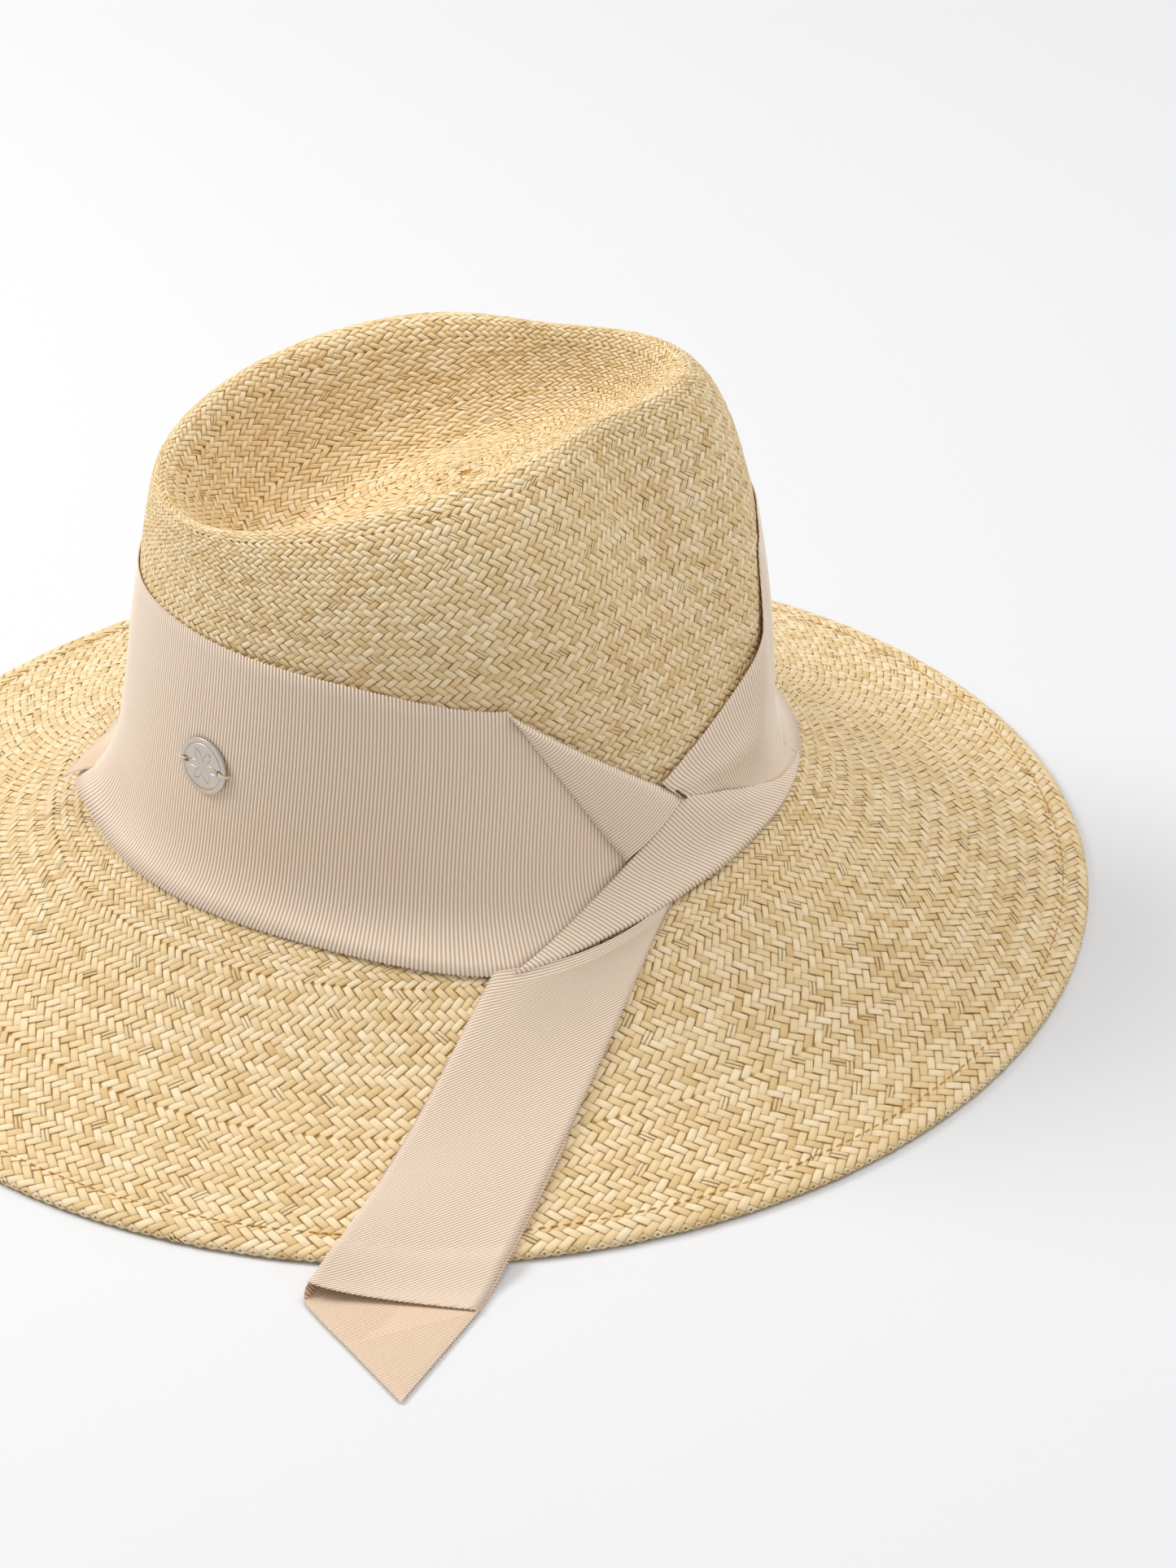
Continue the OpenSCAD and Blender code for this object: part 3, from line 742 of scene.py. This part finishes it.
# Pieces of the weave, each a run of zones on one face.
for name, zones, outside in (
        ("weave_dent", ZONES[:6], True), ("weave_ridge", ZONES[6:7], True),
        ("weave_crown_upper", ZONES[7:8], True), ("weave_crown_lower", ZONES[8:9], True),
        ("weave_brim_inner", ZONES[9:11], True), ("weave_brim_outer", ZONES[11:], True),
        ("weave_hem", [HEM_ZONE], True), ("weave_inside_crown", ZONES[:8], False),
        ("weave_inside_foot", [SWEATBAND_ZONE], False), ("weave_under_brim", ZONES[9:], False)):
    bm = bmesh.new()
    for number, zone in enumerate(zones):
        bm.from_mesh(weave_zone(number + len(name), zone, outside))
    mesh = bpy.data.meshes.new(name)
    bm.to_mesh(mesh)
    bm.free()
    worn(piece(name, mesh, STRAW))

for tool in (whole_strand, split_strand, inner_strand):
    bpy.data.objects.remove(tool)

# ---- ribbon ------------------------------------------------------------------------------

RIB = 1.15
RIB_HEIGHT = 0.14
PICOT = 0.6
RIBBON_THICK = 0.3


def ribbon_tree():
    """Ribbed ribbon laid flat: its length along X, ribs across it, loops on its selvedges."""
    tree, g, of = new_tree("ribbed ribbon", [
        ("Length", "Float"), ("Width", "Float"), ("Rib Pitch", "Float"), ("Rib Height", "Float"),
        ("Loop Near", "Float"), ("Loop Far", "Float"), ("Rows", "Int"), ("Finish", "Material")])
    columns = g.add("FunctionNodeFloatToInt", {"rounding_mode": "ROUND"},
                    {0: of["Length"] / of["Rib Pitch"] * 4 + 1})
    grid = g.add("GeometryNodeMeshGrid", None, {
        "Size X": of["Length"], "Size Y": of["Width"], "Vertices X": columns,
        "Vertices Y": of["Rows"]})
    x, y = g.split(g.add("GeometryNodeInputPosition"))
    x = x + of["Length"] * 0.5
    y = y + of["Width"] * 0.5
    rib = (x * (2 * math.pi) / of["Rib Pitch"]).cos()
    loop = rib * 0.5 + 0.5
    near = (y < 0.001) * of["Loop Near"] * loop
    far = (y > of["Width"] - 0.001) * of["Loop Far"] * loop
    raised = g.add("ShaderNodeCombineXYZ", None, {
        0: x, 1: y - near + far, 2: rib * of["Rib Height"]})
    marked = g.add("GeometryNodeStoreNamedAttribute", {"data_type": "FLOAT", "domain": "POINT"}, {
        "Geometry": grid, "Name": "rib", "Value": rib})
    moved = g.add("GeometryNodeSetPosition", None, {"Geometry": marked, "Position": raised})
    end_tree(g, moved, of["Finish"])
    return tree


GROSGRAIN = ribbon_tree()


def flat_ribbon(name, length, width, rows, loops=(True, True)):
    """A flat length of ribbon, with or without loops on its near and far edge."""
    return grown(name, GROSGRAIN, Length=float(length), Width=float(width), Rib_Pitch=RIB,
                 Rib_Height=RIB_HEIGHT, Loop_Near=PICOT * loops[0], Loop_Far=PICOT * loops[1],
                 Rows=rows, Finish=RIBBON)


def laid_on(surface, width):
    """Takes flat ribbon onto surface(s, t), s in millimetres along it, t from 0 to 1 across."""
    def place(x, y, z):
        t, d = y / width, 0.05
        along = surface(x + d, t) - surface(x - d, t)
        across = surface(x, t + d / width) - surface(x, t - d / width)
        return surface(x, t) + z[:, None] * unit(np.cross(along, across))
    return place


def ribbon_piece(name, mesh, node):
    """A ribbon mesh with its thickness, and its inner side in a finish of its own."""
    ob = piece(name, mesh, RIBBON)
    ob.data.materials.append(RIBBON_INSIDE)
    thicken(ob, RIBBON_THICK, -1).material_offset = 1
    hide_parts(node)
    return ob


def hat_ribbon(name, node, length, width, surface, rows, loops=(True, True)):
    """A piece of ribbon that is fixed to the hat."""
    mesh = wrapped(flat_ribbon(name, length, width, rows, loops), laid_on(surface, width))
    ob = ribbon_piece(name, mesh, node)
    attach(ob, "hat")
    return ob


KNOT, BAND_END, STRAP_END = 211, 177, 252
KNOT_RUN = -21
ARC_ANGLES = np.arange(-120, 300, 1.0)
ARC_STEPS = np.linalg.norm(np.diff(on_hat(ARC_ANGLES, -22, 1), axis=0), axis=1)
ARC = np.concatenate([[0], np.cumsum(ARC_STEPS)])


def arc_of(a):
    return np.interp(a, ARC_ANGLES, ARC)


def angle_at(s):
    return np.interp(s, ARC, ARC_ANGLES)


def blend(p, q, t):
    return p + (q - p) * np.clip(t, 0, 1)


BAND_FROM = STRAP_END - 360 + 1.5
STRAP_TOP, STRAP_RISE = -52.0, 20.0


def band_middle(a):
    return ribbon_w * (-0.4 + 0.148 * np.exp(-((a - 182) / 28) ** 2))


def band_top(a):
    """The band's upper edge. Past its end the edge hides under the upper fold."""
    return np.where(a > BAND_END, blend(band_middle(BAND_END) - ribbon_w / 2 + 1.5, KNOT_RUN + 3,
                                        (a - BAND_END) / (KNOT - BAND_END)),
                    band_middle(a) - ribbon_w / 2 + 4 * np.exp(-((a - 76) / 22) ** 2)
                    + 7 * (1 - easing((a - BAND_FROM) / 6)))


def band_foot(a):
    return np.where(a > BAND_END, blend(band_middle(BAND_END) + ribbon_w / 2, KNOT_RUN + 6,
                                        (a - BAND_END) / (KNOT - BAND_END)),
                    band_middle(a) + ribbon_w / 2)


def stand_off(a, t):
    """How far the band stands off the straw: an open curl at the rear left of its foot, slack
    at the front of its top and faint waves elsewhere. t is 0 at the foot and 1 at the top."""
    curl = 7.0 * np.exp(-((a - 84) / 8.5) ** 2) * easing(1 - t * 2.6)
    slack = -0.35 * np.exp(-((a + 103) / 16.0) ** 2) * easing(t * 1.4 - 0.4)
    waves = 0.22 * np.sin(np.radians(a * 7 + 30)) * np.sin(t * 4 + 1) + 0.22
    snug = 0.7 * easing(t * 3 - 2) * np.exp(-((a - 80) / 40) ** 2)
    return ribbon_gap + 0.35 + curl + slack + waves - snug


band_start = float(arc_of(BAND_FROM))
band_length = float(arc_of(KNOT - 5)) - band_start


def band_surface(s, t):
    a = angle_at(s + band_start)
    top, foot = band_top(a), band_foot(a)
    v = foot + (top - foot) * t
    return on_hat(a, v, stand_off(a, t))


band = hat_ribbon("band", "band_ribbon", band_length, ribbon_w, band_surface, 20)


def back_curl_surface(s, t):
    """A pleat at the rear left of the band's foot, flared out over the brim."""
    a = 64 + s / 1.75
    share = np.clip(s / 30, 0, 1)
    v = -16 + 26 * t + 3 * share
    return on_hat(a, v, 1.8 + 8.0 * share ** 1.6 * easing(t))


back_curl = hat_ribbon("band_back_pleat", "band_ribbon", 30, 28, back_curl_surface, 12)


def fold_drop(distance, radius=1.3):
    """How far a folded edge rounds down, by the distance in from its fold."""
    d = np.clip(radius - distance, 0, radius)
    return radius - np.sqrt(np.maximum(radius ** 2 - d ** 2, 0))


# The upper fold: the band's top corner turned down over its end. Its selvedge runs from the
# end of the band's top down to the corner, its smooth fold from there to the knot.
corner_start = np.array([arc_of(BAND_END), float(band_top(BAND_END)) + 0.5])
corner_low = np.array([arc_of(198.5), -8.0])
knot_point = np.array([arc_of(KNOT), KNOT_RUN])
fold_along = unit(corner_low - corner_start)
fold_across = np.array([fold_along[1], -fold_along[0]])
fold_reach = float((knot_point - corner_start) @ fold_along)
fold_width = float((knot_point - corner_start) @ fold_across)


def upper_fold_surface(s, t):
    wide = np.maximum(fold_width * s / fold_reach, 0.4)
    place = corner_start + s[:, None] * fold_along + (t * wide)[:, None] * fold_across
    h = (ribbon_gap + layer + 1.0 + 0.7 * np.sin(np.clip(t, 0, 1) * math.pi)
         - fold_drop((1 - t) * wide))
    h = h - 0.5 * (1 - easing(t * 4)) + 0.25
    return on_hat(angle_at(place[:, 0]), place[:, 1], h)


upper_fold = hat_ribbon("upper_fold", "knot_upper_fold", fold_reach + 1.0, fold_width,
                        upper_fold_surface, 12, loops=(True, False))

# The lower fold: a long triangle from the foot of the band's end up to the knot, then under
# the crease to the front. Its selvedge is its upper edge, its smooth fold its lower one.
lower_start = np.array([arc_of(BAND_END - 0.3), float(band_foot(BAND_END)) - 0.2])
lower_along = unit(knot_point + np.array([0.5, 1.0]) - lower_start)
lower_across = np.array([-lower_along[1], lower_along[0]])
LOWER_EDGE = [(BAND_END, 21.6), (193, 15.5), (209, 11.0), (226, 8.6), (240, 8.4), (256, 9.0)]
CREASE = [(KNOT, KNOT_RUN + 1), (223, -12.5), (242, 2.4), (250, 6.2), (256, 8.2)]


def in_fold(points):
    """Angle and run of points as distance along and across the lower fold."""
    flat = np.array([[arc_of(a), v] for a, v in points]) - lower_start
    return flat @ lower_along, flat @ lower_across


lower_s, lower_t = in_fold(LOWER_EDGE)
crease_s, crease_t = in_fold(CREASE)
lower_reach = float(lower_s[-1])
LOWER_AREA = float(np.trapz(lower_t, lower_s) - np.trapz(crease_t, crease_s))


def lower_fold_surface(s, t):
    outer = np.interp(s, lower_s, lower_t)
    inner = np.where(s < crease_s[0], 0, np.interp(s, crease_s, crease_t))
    outer = np.maximum(outer, inner + 0.6)
    place = (lower_start + s[:, None] * lower_along
             + (outer + (inner - outer) * t)[:, None] * lower_across)
    wide = outer - inner
    full = 1.3 * np.sin(np.clip(t, 0, 1) * math.pi) * np.clip(wide / 25, 0, 1)
    h = ribbon_gap + layer + 0.9 + full - fold_drop(t * wide)
    sink = easing((s - crease_s[0]) / 30)
    h = (h - 1.1 * sink * easing(t * 3 - 2) + 0.25 * (1 - sink)
         - 1.5 * easing((s - lower_reach + 26) / 24))
    return on_hat(angle_at(place[:, 0]), place[:, 1], np.maximum(h, 0.9))


lower_fold = hat_ribbon("lower_fold", "knot_lower_fold", lower_reach, 40, lower_fold_surface, 20,
                        loops=(False, True))


def gather_top(a):
    return (blend(KNOT_RUN - 7, STRAP_TOP, (a - KNOT) / (STRAP_END - KNOT))
            - STRAP_RISE * easing((a - STRAP_END + 7) / 9))


gather_length = float(arc_of(STRAP_END + 1.5) - arc_of(KNOT + 0.5))


def gather_surface(s, t):
    """The front end of the band: ribs run from its foot to its top and lean as they gather."""
    p = np.clip(s / gather_length, 0, 1)
    top_a = KNOT - 4 + (STRAP_END + 5.5 - KNOT) * p
    foot_a = KNOT + 0.5 + (STRAP_END + 1 - KNOT) * p ** 0.72
    top = gather_top(top_a + 3.5 * (1 - p))
    crease = np.interp(foot_a, [a for a, _ in CREASE], [v for _, v in CREASE]) + 1.2
    q = easing(t) * 0.35 + np.clip(t, 0, 1) * 0.65
    a = foot_a + (top_a - foot_a) * q
    v = crease + (top - crease) * t
    bend = 1.5 * np.exp(-((t - 0.5) / 0.16) ** 2) * np.sin(np.clip(p * 1.3, 0, 1) * math.pi)
    slack = 2.4 * easing(t * 1.5 - 0.5) * easing(p * 1.4 - 0.4)
    h = ribbon_gap + 0.9 + bend + slack + 0.9 * (1 - easing(p * 6))
    flush = easing((p - 0.62) / 0.34)
    return on_hat(a, v, h + (stand_off(a - 360, t) - 0.12 - h) * flush)


gather = hat_ribbon("front_strap", "front_gather", gather_length, 60, gather_surface, 24,
                    loops=(False, True))

# ---- tail --------------------------------------------------------------------------------

tail_l, tail_point = 144, 47
TAIL_LEFT, TAIL_RIGHT = on_hat(172.5, 25.5, 0), on_hat(204, 14, 0)


def heading(degrees):
    return np.array([math.cos(math.radians(degrees)), math.sin(math.radians(degrees))])


root_across = unit((TAIL_LEFT - TAIL_RIGHT)[:2])
root_out = np.array([-root_across[1], root_across[0]])
end_right = TAIL_RIGHT[:2] + tail_l * heading(141)
end_left = TAIL_LEFT[:2] + (tail_l - 41) * heading(137)
end_right, end_left = end_right - 3 * root_across, end_left + 3 * root_across
tail_tip = end_right + tail_point * heading(136)
RING_HALVES = straw(U_FINE, 0.0)[:, 0], straw(U_FINE, 90.0)[:, 1], straw(U_FINE, 0.0)[:, 2]


def ground(x, y):
    """Height of the brim's top, or of the table past its edge, under a plan point."""
    low, high = np.full_like(x, float(FOOT)), np.full_like(x, float(EDGE))
    for _ in range(26):
        mid = (low + high) / 2
        p, q = (np.interp(mid, U_FINE, r) for r in RING_HALVES[:2])
        out = x * x / (p * p) + y * y / (q * q) > 1
        low, high = np.where(out, mid, low), np.where(out, high, mid)
    p, q = RING_HALVES[0][-1], RING_HALVES[1][-1]
    past = (np.hypot(x / p, y / q) - 1) * p
    on_brim = np.interp((low + high) / 2, U_FINE, RING_HALVES[2])
    return np.where(past > 0, edge_z * (1 - easing((past - 1.0) / 15)), on_brim), past


LEFT_REACH = float(np.linalg.norm(end_left - TAIL_LEFT[:2]))
RIGHT_REACH = float(tail_l)
TIP_REACH = float(np.linalg.norm(tail_tip - TAIL_RIGHT[:2]))
TUCK = 5.0


def tail_plan(s, f):
    """Plan point at distance s from the root and share f across, 0 at the left edge."""
    left = TAIL_LEFT[:2] + s[:, None] * unit(end_left - TAIL_LEFT[:2])
    right_one = (TAIL_RIGHT[:2]
                 + np.minimum(s, RIGHT_REACH)[:, None] * unit(end_right - TAIL_RIGHT[:2]))
    right_one = right_one + np.maximum(s - RIGHT_REACH, 0)[:, None] * unit(tail_tip - end_right)
    bow = 6.5 * 4 * f * (1 - f) * np.exp(-np.maximum(s, 0) / 22)
    return left * (1 - f)[:, None] + right_one * f[:, None] + bow[:, None] * root_out


def tail_surface(s, t):
    """The folded tail: t runs from the lower layer's selvedge, 0, round the fold on the left,
    0.5, to the upper layer's selvedge, 1."""
    s = s - TUCK
    d = 2 * t - 1
    f = np.sqrt(d * d + 0.0009) - 0.03
    upper = easing(d * ribbon_w / 2 / 3.6 + 0.5)
    closing = easing(s / (LEFT_REACH * 0.8))
    f = f * np.where(d < 0, 0.36 + 0.64 * closing, 1.0)
    flat = tail_plan(s, f)
    flat = flat - (1.3 * f * closing * (d < 0))[:, None] * unit(root_across)
    base, past = ground(flat[:, 0], flat[:, 1])
    open_end = easing((s - LEFT_REACH * 0.55) / (LEFT_REACH * 0.45))
    gap = 0.9 + 5.6 * open_end * np.exp(-np.clip(f, 0, 1) * 3.2)
    lift = (0.75 + 0.3 * np.exp(-np.maximum(past, 0) / 8)
            + 0.4 * np.sin(s / 23 + 1.2) ** 2 * (1 - easing(past / 12)))
    return np.concatenate([flat, (base + lift + gap * upper)[:, None]], 1)


def tail_mesh():
    """The tail cut on a slant while it still lies open and flat, then folded and laid down."""
    flat = flat_ribbon("tail", TIP_REACH + TUCK, ribbon_w, 45)
    bm = bmesh.new()
    bm.from_mesh(flat)
    fold = Vector((LEFT_REACH + TUCK, ribbon_w / 2, 0))
    for side, reach in ((-1, TIP_REACH), (1, RIGHT_REACH)):
        along = Vector((reach + TUCK, ribbon_w / 2 * (1 + side), 0)) - fold
        half = [f for f in bm.faces if (f.calc_center_median().y - ribbon_w / 2) * side > 0]
        parts = dict.fromkeys([*half, *(e for f in half for e in f.edges),
                               *(v for f in half for v in f.verts)])
        bmesh.ops.bisect_plane(
            bm, geom=list(parts), dist=1e-5, plane_co=fold,
            plane_no=Vector((abs(along.y), -along.x * side, 0)), clear_outer=True)
    bm.to_mesh(flat)
    bm.free()
    return wrapped(flat, laid_on(tail_surface, ribbon_w))


tail = ribbon_piece("tail", tail_mesh(), "ribbon_tail")
hinge = (TAIL_LEFT + TAIL_RIGHT) / 2 * MM
outward = np.array([root_out[0], root_out[1], 0])
tuple(hinge + outward * 0.001)
tuple(hinge + outward * 0.010)
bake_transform(tail)

# ---- sweatband, threads, label, bow, medallion ---------------------------------------------


def stitch_tree():
    """A row of stitches along X, one unit apart, each a short grain of thread."""
    tree, g, of = new_tree("row of stitches", [
        ("Stitches", "Int"), ("Stitch Length", "Float"), ("Thread", "Float"), ("Seed", "Int"),
        ("Finish", "Material")])
    line = g.add("GeometryNodeMeshLine", None, {"Count": of["Stitches"], "Offset": (1, 0, 0)})
    grain = g.add("GeometryNodeMeshUVSphere", None, {"Segments": 8, "Rings": 6, "Radius": 0.5})
    slant = g.add("FunctionNodeRandomValue", {"data_type": "FLOAT"},
                  {2: -0.05, 3: 0.05, 8: of["Seed"]}, 1)
    turn = g.add("ShaderNodeCombineXYZ", None, {2: slant})
    size = g.add("ShaderNodeCombineXYZ", None, {
        0: of["Stitch Length"], 1: of["Thread"], 2: of["Thread"]})
    sewn = g.add("GeometryNodeInstanceOnPoints", None, {"Points": line, "Instance": grain,
                                                       "Rotation": turn, "Scale": size})
    end_tree(g, sewn, of["Finish"])
    return tree


STITCHES = stitch_tree()


def stitch_row(name, count, share, thread, place, finish, node):
    """Stitches round the hat: place turns angle, sideways and upward distance into a point."""
    row = grown(name, STITCHES, Stitches=count, Stitch_Length=share, Thread=thread, Seed=3,
                Finish=finish)
    ob = piece(name, wrapped(row, lambda x, y, z: place(x * 360 / count, y, z)), finish)
    worn(ob, node)


stitch_row("hem_stitches", 330, 0.66, 0.5,
           lambda a, y, z: on_hat(a, EDGE_RUN - hem_w + 0.2 - y, 0.12 + z),
           TAN, "hem_thread")

BAND_UP, BAND_DOWN = -33.0, 2.6
section = ([(v, clear) for v in np.linspace(BAND_UP, BAND_DOWN, 12)]
           + [(BAND_DOWN + 0.9 * math.sin(t), clear + 0.7 - 0.7 * math.cos(t))
              for t in (0.6, 1.2, 1.9, 2.5)]
           + [(v, clear + sweatband_t + 0.22 * math.exp(-((v - 0.6) / 1.6) ** 2)
               - 0.25 * math.exp(-((v + 1.6) / 0.6) ** 2))
              for v in np.linspace(BAND_DOWN, BAND_UP + 0.4, 40)]
           + [(BAND_UP - 0.05, clear + sweatband_t * 0.75),
              (BAND_UP - 0.15, clear + sweatband_t * 0.4)])
ring_angles = np.arange(0, 360, 1.25)
leather_rows = np.array([under_hat(ring_angles, v, h) for v, h in section])
leather = grid_mesh("sweatband_leather", leather_rows, closed_u=True, closed_v=True)
sweatband = piece("sweatband_leather", leather, LEATHER)
sweatband.data.flip_normals()
worn(sweatband, "sweatband")

stitch_row("sweatband_stitches", 210, 0.62, 0.55,
           lambda a, y, z: under_hat(a, -1.6 - y, clear + sweatband_t - 0.1 - z),
           CREAM, "sweatband_thread")


def strip(name, path, widths, thick, finish, place):
    """A flat ribbon standing on edge along a path of (x, y), its height given point by point."""
    rows = []
    for share in np.linspace(-0.5, 0.5, 5):
        rows.append([place(x, y, w * share + z) for (x, y, z), w in zip(path, widths)])
    ob = piece(name, grid_mesh(name, np.array(rows)), finish)
    thicken(ob, thick, 0)
    return ob


def inside_place(a, v, h):
    """A frame on the sweatband's inner face: x along it, y off it, z up it."""
    def place(x, y, z):
        return under_hat(a - x / 98 * 57.3, v - z, h + y)
    return place


at_back = inside_place(90, -21, clear + sweatband_t + 0.25)
t = np.linspace(0, 2 * math.pi, 49)
loops = [(6.0 * math.sin(k), 1.0 + 0.75 * math.sin(2 * k), -0.6 * abs(math.sin(k))) for k in t]
bow = strip("bow_loops", loops, 2.4 + 2.0 * np.sin(t) ** 2, 0.3, BOW, at_back)
ends = [strip(f"bow_end_{side}",
              [(way * (0.6 + 4.2 * k), 0.5 + 0.2 * math.sin(6 * k), -6.0 * k)
               for k in np.linspace(0, 1, 12)], np.full(12, 2.6), 0.3, BOW, at_back)
        for side, way in (("left", 1), ("right", -1))]
knot = strip("bow_knot", [(1.25 * math.sin(k), 1.15 - 0.9 * math.cos(k), 0) for k in t],
             np.full(49, 3.0), 0.35, BOW, at_back)
for ob in (bow, knot, *ends):
    worn(ob, "sweatband_bow")

at_label = inside_place(70, -16, clear + sweatband_t + 0.25)
label_rows = np.array([[at_label(x, 0.05, z) for x in np.linspace(-7, 7, 17)]
                       for z in np.linspace(-5.5, 5.5, 9)])
label = piece("blank_label", grid_mesh("blank_label", label_rows), LABEL)
thicken(label, 0.3, 0)
worn(label, "size_label")

disc_d, disc_t, disc_hole_d, hole_at = 18, 1.0, 1.8, 6.6
DISC_A, DISC_RUN, DISC_H = 120, -37, ribbon_gap + ribbon_t + 0.2
disc_at = on_hat(DISC_A, DISC_RUN, DISC_H)
disc_z = unit(on_hat(DISC_A, DISC_RUN, DISC_H + 1) - disc_at)
disc_x = unit(np.cross([0, 0, 1], disc_z))
disc_y = np.cross(disc_z, disc_x)


def on_disc(x, y, z):
    return disc_at + x * disc_x + y * disc_y + z * disc_z


def medallion_mesh():
    """A round plate with rolled edges and two sewing holes."""
    bm = bmesh.new()

    def circle(x0, r, n):
        ring = [bm.verts.new((x0 + r * math.cos(2 * math.pi * k / n),
                              r * math.sin(2 * math.pi * k / n), 0)) for k in range(n)]
        return [bm.edges.new((ring[k], ring[(k + 1) % n])) for k in range(n)]

    hole = disc_hole_d / 2
    edges = circle(0, disc_d / 2, 96) + circle(hole_at, hole, 24) + circle(-hole_at, hole, 24)
    bmesh.ops.triangle_fill(bm, edges=edges, use_beauty=True)
    face = list(bm.faces)
    for f in face:
        if f.normal.z < 0:
            f.normal_flip()
    top = bmesh.ops.extrude_face_region(bm, geom=face)
    for v in [g for g in top["geom"] if isinstance(g, bmesh.types.BMVert)]:
        v.co.z = disc_t
    bmesh.ops.recalc_face_normals(bm, faces=bm.faces)
    rim = [e for e in bm.edges if len(e.link_faces) == 2 and e.calc_face_angle(0) > 1]
    bmesh.ops.bevel(bm, geom=rim, offset=0.22, segments=3, profile=0.5, affect="EDGES")
    uv = bm.loops.layers.uv.new("face")
    for f in bm.faces:
        for loop in f.loops:
            loop[uv].uv = (loop.vert.co.x / disc_d * 2, loop.vert.co.y / disc_d * 2)
    for v in bm.verts:
        v.co = Vector(on_disc(*v.co) * MM)
    mesh = bpy.data.meshes.new("medallion")
    bm.to_mesh(mesh)
    bm.free()
    return mesh


disc = piece("medallion_plate", medallion_mesh(), NICKEL)
disc.data.set_sharp_from_angle(angle=math.radians(35))
worn(disc, "medallion")
# The thread's way up through a hole, over the rim and down beside it, on the disc's right.
rim_at = disc_d / 2
over = np.array([(hole_at - 0.2, 0.15, -0.2), (hole_at - 0.1, 0.12, disc_t * 0.7),
                 (hole_at + 0.3, 0.08, disc_t + 0.3), (hole_at + 1.2, 0.0, disc_t + 0.36),
                 (rim_at - 0.2, -0.1, disc_t + 0.3), (rim_at + 0.5, -0.16, disc_t * 0.7),
                 (rim_at + 0.75, -0.2, 0.0), (rim_at + 0.7, -0.2, -0.4)])
for side, way in (("left", -1), ("right", 1)):
    fine = np.array([np.interp(np.linspace(0, 7, 29), range(8), c)
                     for c in (over * (way, 1, 1)).T]).T
    thread = piece(f"medallion_thread_{side}",
                   tube("thread", np.array([on_disc(*q) for q in fine]), 0.34, 8), CREAM)
    worn(thread, "medallion_threads")

tack_h = ribbon_gap + 2 * layer + 0.45
tack = np.array([on_hat(a, v, tack_h + h) for a, v, h in (
    (210.1, -22.8, -0.9), (210.3, -22.3, -0.1), (210.8, -21.3, 0.15), (211.4, -20.3, 0.15),
    (211.9, -19.4, -0.1), (212.1, -18.9, -0.9))])
tack_piece = piece("knot_tack", tube("knot_tack", tack, 0.4, 10), DARK)
worn(tack_piece, "knot_stitch")
